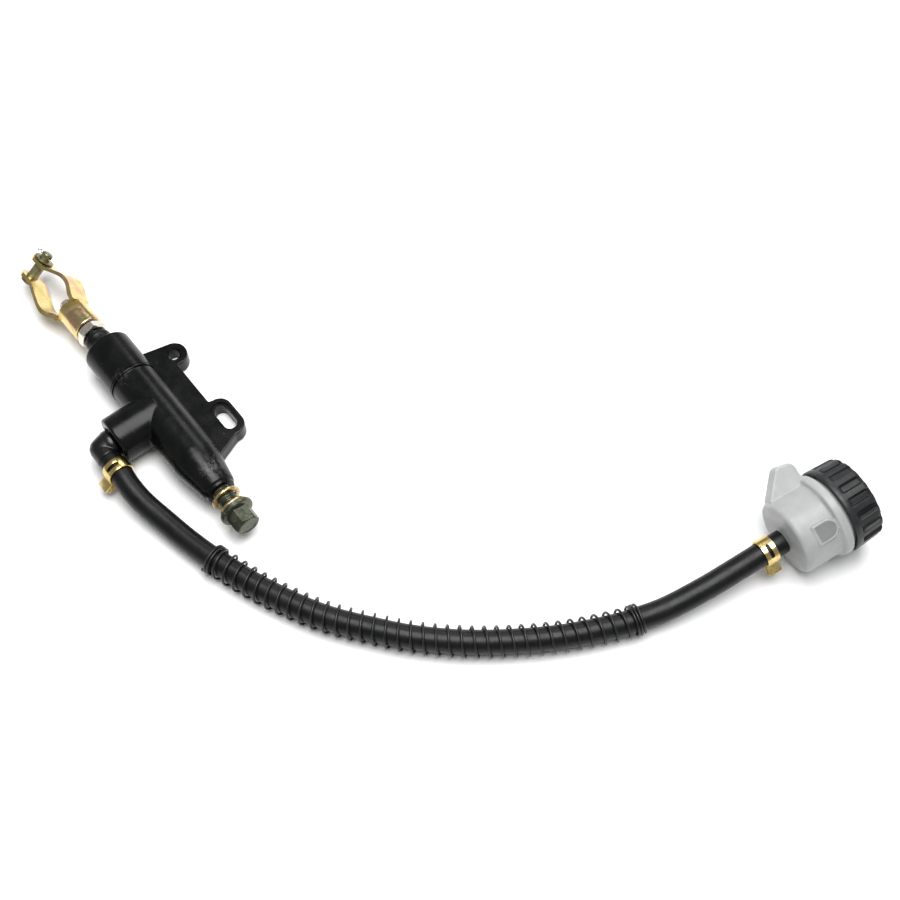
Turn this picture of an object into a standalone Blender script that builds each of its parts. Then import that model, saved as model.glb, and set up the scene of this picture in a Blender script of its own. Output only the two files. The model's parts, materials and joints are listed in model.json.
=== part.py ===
"""Rear brake master cylinder of a motorcycle, with its remote fluid reservoir and feed hose.

Frame: metres, +Z up. +X is the way the piston is pushed, from the clevis to the banjo bolt.
+Y points from the bore to the mounting ears. The origin lies on the flange's flat back face,
under the bore's axis, midway between the mounting hole and the slot.
"""
import math

import bmesh
import bpy
from mathutils import Vector

COLLECTION = "brake_master_cylinder"
CUTTERS = "cutters"

GAP = 0.0003                    # clearance between pieces that touch
TOUCH_MERGE = 0.00001           # merge distance for turned shapes and welded curve caps

# Cylinder body, along X from the open mouth to the nose.
MOUTH_X = -0.046
BORE_Z = 0.0135                 # height of the bore's axis above the flange's back face
BODY_LENGTH = 0.110
BARREL_R = 0.0125
SLEEVE_R = 0.0130               # thicker stretch at the mouth
SLEEVE_LENGTH = 0.0270
BORE_R = 0.0065
POCKET_R = 0.0080               # mouth pocket for the boot, the snap ring and the stop washer
POCKET_DEPTH = 0.0100
NOSE_R = 0.0086
SPIGOT_R = 0.0076
OUTLET_R = 0.0053
OUTLET_DEPTH = 0.0170

# Inlet boss, square to the bore and pointing along -Y.
BOSS_X = 0.0055
BOSS_R = 0.0128
BOSS_LENGTH = 0.0270
SOCKET_R = 0.0085
SOCKET_FLOOR = 0.0150           # distance of the socket's floor from the bore's axis

# Mounting flange.
EAR_T = 0.0085
EAR_Y = 0.0273
HOLE_X = -0.025
SLOT_X = 0.025
EAR_R = 0.0074
SLOT_EAR_R = 0.0070
SLOT_EAR_HALF = 0.0055
HOLE_R = 0.0033
SLOT_R = 0.0036
SLOT_HALF = 0.0045
WEB_Y = 0.0253

# Rod, clevis and pin. Distances along X are from the mouth, negative outwards.
ROD_R = 0.0040
BOOT_END = -0.0108
NUT_AF = 0.0145
NUT_T = 0.0050
SOCKET_OUT_R = 0.0082
SOCKET_START = -0.0168
SOCKET_END = -0.0345
FORK_T = 0.0023
FORK_W = 0.0120
EAR_TIP = -0.0760
PIN_X = -0.0700
PIN_R = 0.0030
FORK_ROLL = math.radians(35.0)
ROD_YAW = math.radians(1.9)      # the rod leans to -Y about its ball end
BALL_X = 0.0150
EAR_HALF = 0.0067               # outer half width across the fork's ears

# Banjo bolt, distances from the nose end.
BOLT_SHANK_R = 0.0050
WASHER_R = 0.0078
WASHER_T = 0.0016
INNER_WASHER_X = 0.0034
OUTER_WASHER_X = 0.0106
BOLT_FLANGE_X = 0.0128
BOLT_FLANGE_T = 0.0024
BOLT_FLANGE_R = 0.0090
BOLT_HEX_AF = 0.0120
BOLT_END_X = 0.0246
BOLT_SHANK_LENGTH = 0.0235

# Feed hose and what is on it.
HOSE_R = 0.0060
HOSE_BORE_R = 0.0040
BARB_R = 0.0035
ELBOW_Y = -0.0342               # the elbow's outlet axis
GUARD_WIRE_R = 0.00065
GUARD_R = 0.0074                # mean radius of the coil
GUARD_TURNS = 40
GUARD_START = 0.205             # share of the hose's length
GUARD_END = 0.787
CLAMP_T = 0.0007
CLAMP_W = 0.0068

# Reservoir. Its axis runs from the bottom, where the nipple is, to the cap.
RES_X = 0.2599
RES_Y = 0.1987
RES_Z = 0.0204
RES_TILT = math.radians(8.0)    # the cap end is raised
RES_YAW = math.radians(-8.0)    # and leans from +Y towards +X
RES_BODY_R = 0.0194
RES_WALL = 0.0018
LUG_T = 0.0090
LUG_TILT = math.radians(25.0)   # the lug points along -X and up
LUG_HOLE = (-0.0268, 0.0136)
LUG_HOLE_R = 0.0030
WINDOW_TILT = math.radians(55.0)
RES_RIM = 0.0377                # top edge of the neck, inside the cap
FLANGE_START = 0.0204
FLANGE_T = 0.0044
FLANGE_R = 0.0217
CAP_START = 0.0260
CAP_R = 0.0222
CAP_H = 0.0164
CAP_TAPER = 0.045
CAP_RIBS = 18

# Route of the hose's centreline, from the elbow to the reservoir's nipple.
HOSE_ROUTE = (
    (0.0135, -0.0342, 0.0135),
    (0.0195, -0.0342, 0.0135),
    (0.0255, -0.0342, 0.0134),
    (0.0330, -0.0344, 0.0123),
    (0.0435, -0.0335, 0.0106),
    (0.0577, -0.0306, 0.0090),
    (0.0750, -0.0270, 0.0083),
    (0.0936, -0.0219, 0.0083),
    (0.1203, -0.0124, 0.0083),
    (0.1479, 0.0013, 0.0083),
    (0.1715, 0.0186, 0.0083),
    (0.1858, 0.0308, 0.0083),
    (0.2013, 0.0471, 0.0083),
    (0.2157, 0.0660, 0.0083),
    (0.2286, 0.0863, 0.0083),
    (0.2396, 0.1085, 0.0083),
    (0.2438, 0.1195, 0.0086),
    (0.2486, 0.1335, 0.0100),
    (0.2530, 0.1530, 0.0134),
    (0.2560, 0.1712, 0.0165),
    (0.2574, 0.1810, 0.0179),
    (0.2585, 0.1889, 0.0190),
    (0.2597, 0.1973, 0.0202),
)


def clear_scene():
    """Start from nothing."""
    for obj in list(bpy.data.objects):
        bpy.data.objects.remove(obj, do_unlink=True)


def collection(name):
    """The named collection, made on first use."""
    found = bpy.data.collections.get(name)
    if found is None:
        found = bpy.data.collections.new(name)
        bpy.context.scene.collection.children.link(found)
    return found


def material(name, color, roughness, metallic=0.0, alpha=1.0):
    """A Principled material in one of the object's finishes."""
    found = bpy.data.materials.get(name)
    if found is None:
        found = bpy.data.materials.new(name)
        found.use_nodes = True
        shader = found.node_tree.nodes["Principled BSDF"]
        shader.inputs["Base Color"].default_value = (*color, 1.0)
        shader.inputs["Roughness"].default_value = roughness
        shader.inputs["Metallic"].default_value = metallic
        shader.inputs["Alpha"].default_value = alpha
    return found


def black_casting():
    return material("black_casting", (0.012, 0.013, 0.013), 0.35)


def black_plastic():
    return material("black_plastic", (0.02, 0.02, 0.022), 0.45)


def black_rubber():
    return material("black_rubber", (0.015, 0.015, 0.016), 0.6)


def yellow_zinc():
    return material("yellow_zinc", (0.72, 0.52, 0.20), 0.3, metallic=1.0)


def olive_zinc():
    return material("olive_zinc", (0.20, 0.21, 0.16), 0.4, metallic=1.0)


def bright_steel():
    return material("bright_steel", (0.62, 0.61, 0.58), 0.25, metallic=1.0)


def copper():
    return material("copper", (0.80, 0.50, 0.28), 0.35, metallic=1.0)


def black_wire():
    return material("black_wire", (0.015, 0.015, 0.015), 0.4, metallic=0.6)


def milky_plastic():
    return material("milky_plastic", (0.78, 0.79, 0.78), 0.4)


def x_from_mouth(distance):
    """World X of a point measured along the bore from the mouth."""
    return MOUTH_X + distance


def x_from_nose(distance):
    """World X of a point measured outwards from the nose's end."""
    return MOUTH_X + BODY_LENGTH + distance


def finish(obj, paint, cutter=False):
    """Give a new object its material and its collection."""
    target = collection(CUTTERS if cutter else COLLECTION)
    for old in list(obj.users_collection):
        old.objects.unlink(obj)
    target.objects.link(obj)
    obj.data.materials.clear()
    obj.data.materials.append(paint)
    if cutter:
        obj.hide_render = True
        obj.display_type = "WIRE"
    return obj


def shade(obj, angle=35.0):
    """Smooth shading that keeps the edges sharper than the angle."""
    obj.data.shade_smooth()
    obj.data.set_sharp_from_angle(angle=math.radians(angle))


# Turns that lay a shape's own +Z along a world axis.
ALONG_X = (0.0, math.pi / 2, 0.0)
ALONG_Y = (-math.pi / 2, 0.0, 0.0)
ALONG_MINUS_Y = (math.pi / 2, 0.0, 0.0)


def turned(name, profile, paint, place, turn, steps=32, cutter=False):
    """A turned shape: the profile's (radius, height) points run down its outer side and back up."""
    mesh = bpy.data.meshes.new(name)
    points = [(radius, 0.0, height) for radius, height in profile]
    closed = profile[0][0] > 0.0
    edges = [(i, i + 1) for i in range(len(points) - 1)]
    if closed:
        edges.append((len(points) - 1, 0))
    mesh.from_pydata(points, edges, [])
    obj = bpy.data.objects.new(name, mesh)
    collection(COLLECTION).objects.link(obj)
    screw = obj.modifiers.new("turn", "SCREW")
    screw.axis = "Z"
    screw.steps = steps
    screw.render_steps = steps
    screw.use_merge_vertices = True
    screw.merge_threshold = TOUCH_MERGE
    screw.use_smooth_shade = True
    obj.location = place
    obj.rotation_euler = turn
    return finish(obj, paint, cutter)


def as_mesh(obj):
    """Turn a curve, or an object with modifiers, into a welded mesh object in its place."""
    name = obj.name
    paint = obj.data.materials[0]
    cutter = obj.hide_render
    bpy.context.view_layer.update()
    graph = bpy.context.evaluated_depsgraph_get()
    mesh = bpy.data.meshes.new_from_object(obj.evaluated_get(graph))
    matrix = obj.matrix_world.copy()
    bpy.data.objects.remove(obj, do_unlink=True)
    welded = bmesh.new()
    welded.from_mesh(mesh)
    bmesh.ops.remove_doubles(welded, verts=welded.verts, dist=TOUCH_MERGE)
    bmesh.ops.recalc_face_normals(welded, faces=welded.faces)
    welded.to_mesh(mesh)
    welded.free()
    result = bpy.data.objects.new(name, mesh)
    result.matrix_world = matrix
    collection(COLLECTION).objects.link(result)
    return finish(result, paint, cutter)


def plate(name, outline, thickness, paint, place, turn=(0.0, 0.0, 0.0), holes=(), cutter=False):
    """A flat outline in its own XY plane, thickness deep about that plane, as a mesh."""
    curve = bpy.data.curves.new(name, "CURVE")
    curve.dimensions = "2D"
    curve.fill_mode = "BOTH"
    curve.extrude = thickness / 2
    for loop in (outline, *holes):
        spline = curve.splines.new("POLY")
        spline.points.add(len(loop) - 1)
        for point, (x, y) in zip(spline.points, loop):
            point.co = (x, y, 0.0, 1.0)
        spline.use_cyclic_u = True
    obj = bpy.data.objects.new(name, curve)
    collection(COLLECTION).objects.link(obj)
    obj.location = place
    obj.rotation_euler = turn
    return as_mesh(finish(obj, paint, cutter))


def tube(name, points, radius, paint, bevel_resolution=2, cutter=False):
    """A round wire or tube through the points, with filled ends."""
    curve = bpy.data.curves.new(name, "CURVE")
    curve.dimensions = "3D"
    curve.bevel_depth = radius
    curve.bevel_resolution = bevel_resolution
    curve.use_fill_caps = True
    spline = curve.splines.new("POLY")
    spline.points.add(len(points) - 1)
    for knot, point in zip(spline.points, points):
        knot.co = (*point, 1.0)
    obj = bpy.data.objects.new(name, curve)
    collection(COLLECTION).objects.link(obj)
    return finish(obj, paint, cutter)


def combine(obj, other, operation):
    """Join, cut or intersect an object with another one."""
    change = obj.modifiers.new(operation.lower(), "BOOLEAN")
    change.operation = operation
    change.solver = "EXACT"
    change.object = other


def arc(cx, cy, radius, start, end, count):
    """Points round an arc, from one angle to another in degrees, both ends included."""
    points = []
    for i in range(count + 1):
        angle = math.radians(start + (end - start) * i / count)
        points.append((cx + radius * math.cos(angle), cy + radius * math.sin(angle)))
    return points


def smooth(points, per_span):
    """A smooth curve through the points (Catmull-Rom), with per_span steps between each two."""
    knots = [Vector(p) for p in points]
    knots = [2 * knots[0] - knots[1], *knots, 2 * knots[-1] - knots[-2]]
    result = []
    for i in range(1, len(knots) - 2):
        a, b, c, d = knots[i - 1:i + 3]
        for j in range(per_span):
            t = j / per_span
            result.append(0.5 * (2 * b + (c - a) * t + (2 * a - 5 * b + 4 * c - d) * t * t
                                 + (3 * b - a - 3 * c + d) * t ** 3))
    result.append(knots[-2])
    return result


def resample(points, count):
    """The same path as count points an equal distance apart."""
    lengths = [0.0]
    for a, b in zip(points, points[1:]):
        lengths.append(lengths[-1] + (b - a).length)
    result = []
    span = 0
    for i in range(count):
        target = lengths[-1] * i / (count - 1)
        while span < len(points) - 2 and lengths[span + 1] < target:
            span += 1
        part = (target - lengths[span]) / (lengths[span + 1] - lengths[span])
        result.append(points[span].lerp(points[span + 1], part))
    return result


def hexagon(across_flats, turn=0.0):
    """Corner points of a hexagon."""
    return arc(0.0, 0.0, across_flats / math.sqrt(3), turn, turn + 300.0, 5)


def flange_outline():
    """The mounting plate: a round ear, a straight web and a slotted ear, on a foot under the bore."""
    foot_y = -0.0080
    points = [(x_from_mouth(0.006), foot_y), (x_from_mouth(0.096), foot_y)]
    points.append((x_from_mouth(0.0895), 0.0110))
    points += arc(SLOT_X + SLOT_EAR_HALF, EAR_Y, SLOT_EAR_R, -12.0, 90.0, 6)
    points += arc(SLOT_X - SLOT_EAR_HALF, EAR_Y, SLOT_EAR_R, 90.0, 165.0, 5)
    points.append((SLOT_X - SLOT_EAR_HALF - SLOT_EAR_R - 0.0004, WEB_Y))
    points += arc(HOLE_X, EAR_Y, EAR_R, -15.0, 165.0, 10)
    points.append((x_from_mouth(0.0100), 0.0120))
    return points


def cylinder_body():
    """The casting: barrel, inlet boss and mounting flange, bored for the piston and the ports."""
    end = BODY_LENGTH
    barrel = [(0.0, end), (SPIGOT_R, end), (SPIGOT_R, end - 0.0016), (NOSE_R, end - 0.0016),
              (NOSE_R + 0.0005, end - 0.0030), (BARREL_R - 0.0006, 0.0905), (BARREL_R, 0.0865),
              (BARREL_R, SLEEVE_LENGTH + 0.0006), (SLEEVE_R, SLEEVE_LENGTH), (SLEEVE_R, 0.0009),
              (SLEEVE_R - 0.0009, 0.0), (0.0, 0.0)]
    paint = black_casting()
    body = turned("cylinder_body", barrel, paint, (MOUTH_X, 0.0, BORE_Z), ALONG_X, steps=32)

    boss = [(0.0, BOSS_LENGTH), (BOSS_R - 0.0008, BOSS_LENGTH), (BOSS_R, BOSS_LENGTH - 0.0008),
            (BOSS_R, 0.0), (0.0, 0.0)]
    combine(body, turned("boss", boss, paint, (BOSS_X, 0.0, BORE_Z), ALONG_MINUS_Y, 28, cutter=True), "UNION")
    flange = plate("flange", flange_outline(), EAR_T, paint, (0.0, 0.0, EAR_T / 2), cutter=True)
    combine(body, flange, "UNION")

    groove_r = POCKET_R + 0.0008
    outlet_start = end - OUTLET_DEPTH
    bore = [(0.0, end + 0.001), (OUTLET_R, end + 0.001), (OUTLET_R, outlet_start), (0.0015, outlet_start - 0.001),
            (0.0015, 0.0892), (BORE_R - 0.001, 0.0882), (BORE_R, 0.0872), (BORE_R, POCKET_DEPTH),
            (POCKET_R, POCKET_DEPTH), (POCKET_R, 0.0088), (groove_r, 0.0088), (groove_r, 0.0073),
            (POCKET_R, 0.0073), (POCKET_R, -0.001), (0.0, -0.001)]
    combine(body, turned("bore", bore, paint, (MOUTH_X, 0.0, BORE_Z), ALONG_X, 20, cutter=True), "DIFFERENCE")

    clip_r = SOCKET_R + 0.0008
    socket = [(0.0, BOSS_LENGTH + 0.001), (SOCKET_R, BOSS_LENGTH + 0.001), (SOCKET_R, 0.0262),
              (clip_r, 0.0262), (clip_r, 0.0249), (SOCKET_R, 0.0249), (SOCKET_R, SOCKET_FLOOR),
              (0.0016, SOCKET_FLOOR - 0.0005), (0.0016, 0.0030), (0.0, 0.0030)]
    place = (BOSS_X, 0.0, BORE_Z)
    combine(body, turned("socket", socket, paint, place, ALONG_MINUS_Y, 20, cutter=True), "DIFFERENCE")

    hole = plate("hole", arc(HOLE_X, EAR_Y, HOLE_R, 0.0, 342.0, 19), EAR_T * 2, paint,
                 (0.0, 0.0, EAR_T / 2), cutter=True)
    combine(body, hole, "DIFFERENCE")
    slot_loop = arc(SLOT_X + SLOT_HALF, EAR_Y, SLOT_R, -90.0, 90.0, 10)
    slot_loop += arc(SLOT_X - SLOT_HALF, EAR_Y, SLOT_R, 90.0, 270.0, 10)
    slot = plate("slot", slot_loop, EAR_T * 2, paint, (0.0, 0.0, EAR_T / 2), cutter=True)
    combine(body, slot, "DIFFERENCE")
    return as_mesh(body)


def bore_ring(name, outer, inner, start, end, paint, steps=24):
    """A plain ring on the bore's axis."""
    profile = [(outer, end), (outer, start), (inner, start), (inner, end)]
    return turned(name, profile, paint, (MOUTH_X, 0.0, BORE_Z), ALONG_X, steps)


def piston_group():
    """The piston, its two rubber cups and the return spring's seat."""
    outer = BORE_R - GAP
    groove = 0.0045
    piston = [(0.0, 0.0455), (0.0030, 0.0455), (0.0030, 0.0443), (outer, 0.0435), (outer, 0.0410),
              (0.0042, 0.0405), (0.0042, 0.0220), (outer, 0.0215), (outer, 0.0192), (groove, 0.0192),
              (groove, 0.0158), (outer, 0.0158), (outer, 0.0124), (0.0050, 0.0121), (0.0042, 0.0121),
              (0.0040, 0.0145), (0.0022, 0.0170), (0.0, 0.0178)]
    turned("piston", piston, bright_steel(), (MOUTH_X, 0.0, BORE_Z), ALONG_X, 22)
    lip = BORE_R - GAP
    primary = [(lip, 0.0490), (lip - 0.0004, 0.0473), (lip - 0.0009, 0.0448), (0.0033, 0.0448),
               (0.0033, 0.0467), (lip - 0.0014, 0.0473), (lip - 0.0009, 0.0490)]
    turned("primary_cup", primary, black_rubber(), (MOUTH_X, 0.0, BORE_Z), ALONG_X, 22)
    bore_ring("secondary_cup", lip, groove + GAP, 0.0162, 0.0188, black_rubber(), 22)
    seat = [(0.0, 0.0510), (0.0030, 0.0510), (0.0030, 0.0483), (0.0045, 0.0483), (0.0045, 0.0476),
            (0.0028, 0.0476), (0.0028, 0.0458), (0.0, 0.0458)]
    turned("spring_seat", seat, bright_steel(), (MOUTH_X, 0.0, BORE_Z), ALONG_X, 20)


def return_spring():
    """The spring that pushes the piston back, from its seat to the end of the bore."""
    wire = 0.0006
    start = x_from_mouth(0.0483) + GAP + wire
    end = x_from_mouth(0.0868) - GAP - wire
    turns = 8
    per_turn = 9
    mean_r = 0.0041
    points = []
    for i in range(turns * per_turn + 1):
        angle = 2 * math.pi * i / per_turn
        along = start + (end - start) * i / (turns * per_turn)
        points.append((along, mean_r * math.cos(angle), BORE_Z + mean_r * math.sin(angle)))
    as_mesh(tube("return_spring", points, wire, bright_steel(), bevel_resolution=0))


def mouth_pieces():
    """The stop washer and the snap ring that keep the piston and the rod in."""
    bore_ring("stop_washer", POCKET_R - GAP, 0.0046, 0.0091, 0.0097, bright_steel())
    outer = POCKET_R + 0.0008 - GAP
    outline = arc(0.0, 0.0, outer, 20.0, 340.0, 28) + arc(0.0, 0.0, 0.0064, 340.0, 20.0, 28)
    place = (x_from_mouth(0.0081), 0.0, BORE_Z)
    plate("snap_ring", outline, 0.0008, black_wire(), place, ALONG_X)


def dust_boot():
    """The rubber boot round the rod, plugged into the mouth and closed on the rod."""
    rod = ROD_R + GAP
    profile = [(POCKET_R - GAP, 0.0060), (POCKET_R - GAP, -0.0006), (0.0074, -0.0020), (0.0070, -0.0050),
               (0.0072, -0.0075), (0.0068, -0.0100), (0.0060, BOOT_END), (rod, BOOT_END),
               (rod, BOOT_END + 0.0022), (0.0056, -0.0080), (0.0058, -0.0040), (0.0062, -0.0010),
               (0.0064, 0.0060)]
    boot = as_mesh(turned("dust_boot", profile, black_rubber(), (MOUTH_X, 0.0, BORE_Z), ALONG_X, 22))
    for vertex in boot.data.vertices:
        along = vertex.co.z
        if along < 0.0:
            vertex.co.y += (along - BALL_X) * math.tan(ROD_YAW) * min(1.0, along / BOOT_END)


def rod_axis():
    """The empty on the rod's axis that carries the rod, the nut and the clevis."""
    empty = bpy.data.objects.new("rod_axis", None)
    collection(COLLECTION).objects.link(empty)
    lean = (BALL_X - BALL_X * math.cos(ROD_YAW), -BALL_X * math.sin(ROD_YAW))
    empty.location = (MOUTH_X + lean[0], lean[1], BORE_Z)
    empty.rotation_euler = (FORK_ROLL, 0.0, ROD_YAW)
    return empty


def pushrod(empty):
    """The rod: a ball end in the piston, a collar behind the stop washer, and a threaded shank."""
    profile = [(0.0, 0.0172), (0.0016, 0.0169), (0.0030, 0.0150), (0.0034, 0.0135), (0.0034, 0.0118),
               (0.0060, 0.0118), (0.0060, 0.0102), (ROD_R, 0.0100), (ROD_R, -0.0392), (0.0032, -0.0404),
               (0.0, -0.0404)]
    obj = turned("pushrod", profile, bright_steel(), (0.0, 0.0, 0.0), ALONG_X, 22)
    obj.parent = empty


def lock_nut(empty):
    """The hexagon nut that locks the clevis on the rod."""
    middle = BOOT_END - GAP - NUT_T / 2 - 0.0001
    bore = arc(0.0, 0.0, ROD_R + GAP, 0.0, 345.0, 23)
    nut = plate("lock_nut", hexagon(NUT_AF, 12.0), NUT_T, bright_steel(), (middle, 0.0, 0.0), ALONG_X, (bore,))
    nut.parent = empty


def fork_outline():
    """The fork seen along its pin's square: both arms bent out from the socket and in to the ears."""
    outer = smooth(((-0.0335, 0.0078), (-0.0375, 0.0098), (-0.0430, 0.0118), (-0.0500, 0.0122),
                    (-0.0560, 0.0102), (-0.0605, 0.0076), (-0.0640, EAR_HALF), (EAR_TIP, EAR_HALF)), 3)
    ear_inner = EAR_HALF - FORK_T
    inner = smooth(((EAR_TIP, ear_inner), (-0.0645, ear_inner), (-0.0612, 0.0052), (-0.0566, 0.0076),
                    (-0.0500, 0.0098), (-0.0440, 0.0094), (-0.0398, 0.0074), (-0.0372, 0.0048)), 3)
    right = [(p.x, p.y) for p in (Vector((*q, 0.0)) for q in outer + inner)]
    left = [(x, -y) for x, y in reversed(right)]
    return right + left


def clevis(empty):
    """The clevis: a round threaded socket with a fork bent from strip, cross drilled for the pin."""
    gold = yellow_zinc()
    profile = [(SOCKET_OUT_R - 0.0005, SOCKET_START), (SOCKET_OUT_R, SOCKET_START - 0.0005),
               (SOCKET_OUT_R, SOCKET_END), (ROD_R + GAP, SOCKET_END), (ROD_R + GAP, SOCKET_START)]
    body = turned("clevis", profile, gold, (0.0, 0.0, 0.0), ALONG_X, 26)
    body.parent = empty
    fork = plate("fork", fork_outline(), FORK_W, gold, (0.0, 0.0, 0.0), cutter=True)
    fork.parent = empty
    ear = arc(PIN_X, 0.0, -(EAR_TIP - PIN_X), 105.0, 255.0, 12)
    side = [(-0.0330, 0.0068), (-0.0420, 0.0070), (-0.0560, 0.0070), *ear]
    side += [(x, -z) for x, z in ((-0.0560, 0.0070), (-0.0420, 0.0070), (-0.0330, 0.0068))]
    flank = plate("fork_flank", side, 0.0400, gold, (0.0, 0.0, 0.0), (math.pi / 2, 0.0, 0.0), cutter=True)
    flank.parent = empty
    combine(fork, flank, "INTERSECT")
    combine(body, fork, "UNION")
    bore = turned("clevis_bore", [(0.0, -0.010), (ROD_R + GAP, -0.010), (ROD_R + GAP, -0.042), (0.0, -0.042)],
                  gold, (0.0, 0.0, 0.0), ALONG_X, 22, cutter=True)
    bore.parent = empty
    combine(body, bore, "DIFFERENCE")
    drill = turned("clevis_drill", [(0.0, 0.02), (PIN_R + GAP, 0.02), (PIN_R + GAP, -0.02), (0.0, -0.02)],
                   gold, (PIN_X, 0.0, 0.0), ALONG_Y, 20, cutter=True)
    drill.parent = empty
    combine(body, drill, "DIFFERENCE")
    return as_mesh(body)


def pin_pieces(empty):
    """The clevis pin with its washer and its cotter pin, about the pin's own axis."""
    olive = olive_zinc()
    head_t = 0.0018
    face = EAR_HALF + GAP
    end = 0.0118
    profile = [(0.0, end), (PIN_R - 0.0005, end), (PIN_R, end - 0.0005), (PIN_R, -face), (0.0046, -face),
               (0.0046, -face - head_t + 0.0004), (0.0042, -face - head_t), (0.0, -face - head_t)]
    pin = turned("clevis_pin", profile, olive, (PIN_X, 0.0, 0.0), ALONG_Y, 20)
    pin.parent = empty
    cross_y = 0.0096
    hole = turned("cotter_hole", [(0.0, 0.006), (0.00125, 0.006), (0.00125, -0.006), (0.0, -0.006)],
                  olive, (PIN_X, cross_y, 0.0), ALONG_X, 12, cutter=True)
    hole.parent = empty
    combine(pin, hole, "DIFFERENCE")
    as_mesh(pin)

    ring = [(0.0056, 0.0009), (0.0056, 0.0), (PIN_R + GAP, 0.0), (PIN_R + GAP, 0.0009)]
    washer = turned("pin_washer", ring, olive, (PIN_X, face, 0.0), ALONG_Y, 24)
    washer.parent = empty

    half = 0.00055
    eye_r = 0.0019
    eye_x = PIN_X - PIN_R - 0.0022
    leg_x = PIN_X + PIN_R
    points = [(leg_x + 0.0040, cross_y, half + 0.0022), (leg_x + 0.0012, cross_y, half + 0.0006),
              (leg_x, cross_y, half), (PIN_X - PIN_R, cross_y, half)]
    for x, z in arc(eye_x, 0.0, eye_r, 40.0, 320.0, 12):
        points.append((x, cross_y, z))
    points += [(PIN_X - PIN_R, cross_y, -half), (leg_x, cross_y, -half),
               (leg_x + 0.0012, cross_y, -half - 0.0006), (leg_x + 0.0040, cross_y, -half - 0.0022)]
    cotter = tube("cotter_pin", points, 0.00042, bright_steel(), bevel_resolution=1)
    cotter.parent = empty
    as_mesh(cotter)


def banjo_pieces():
    """The banjo bolt, started in the outlet, and the two crush washers on its shank."""
    olive = olive_zinc()
    under = BOLT_FLANGE_X
    top = under + BOLT_FLANGE_T
    shank = [(0.0, top + 0.001), (0.0050, top + 0.001), (BOLT_FLANGE_R - 0.0006, top), (BOLT_FLANGE_R, top - 0.0006),
             (BOLT_FLANGE_R, under), (BOLT_SHANK_R, under), (BOLT_SHANK_R, under - BOLT_SHANK_LENGTH + 0.001),
             (BOLT_SHANK_R - 0.001, under - BOLT_SHANK_LENGTH), (0.0, under - BOLT_SHANK_LENGTH)]
    place = (x_from_nose(0.0), 0.0, BORE_Z)
    bolt = turned("banjo_bolt", shank, olive, place, ALONG_X, 24)
    head = BOLT_END_X - top + 0.0004
    middle = x_from_nose(BOLT_END_X - head / 2)
    hexagonal = plate("bolt_hex", hexagon(BOLT_HEX_AF, 20.0), head, olive, (middle, 0.0, BORE_Z), ALONG_X, cutter=True)
    combine(bolt, hexagonal, "UNION")
    drill = [(0.0, under - 0.004), (0.0020, under - 0.004), (0.0020, under - BOLT_SHANK_LENGTH - 0.001),
             (0.0, under - BOLT_SHANK_LENGTH - 0.001)]
    combine(bolt, turned("bolt_drill", drill, olive, place, ALONG_X, 16, cutter=True), "DIFFERENCE")
    cross = [(0.0, 0.008), (0.0014, 0.008), (0.0014, -0.008), (0.0, -0.008)]
    cross_place = (x_from_nose((INNER_WASHER_X + WASHER_T + OUTER_WASHER_X) / 2), 0.0, BORE_Z)
    combine(bolt, turned("bolt_port", cross, olive, cross_place, (0.0, 0.0, 0.0), 12, cutter=True), "DIFFERENCE")
    as_mesh(bolt)

    for name, start in (("crush_washer_inner", INNER_WASHER_X), ("crush_washer_outer", OUTER_WASHER_X)):
        ring = [(WASHER_R - 0.0002, start + WASHER_T), (WASHER_R, start + WASHER_T - 0.0002),
                (WASHER_R, start + 0.0002), (WASHER_R - 0.0002, start), (BOLT_SHANK_R + GAP, start),
                (BOLT_SHANK_R + GAP, start + WASHER_T)]
        turned(name, ring, copper(), place, ALONG_X, 24)


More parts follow.
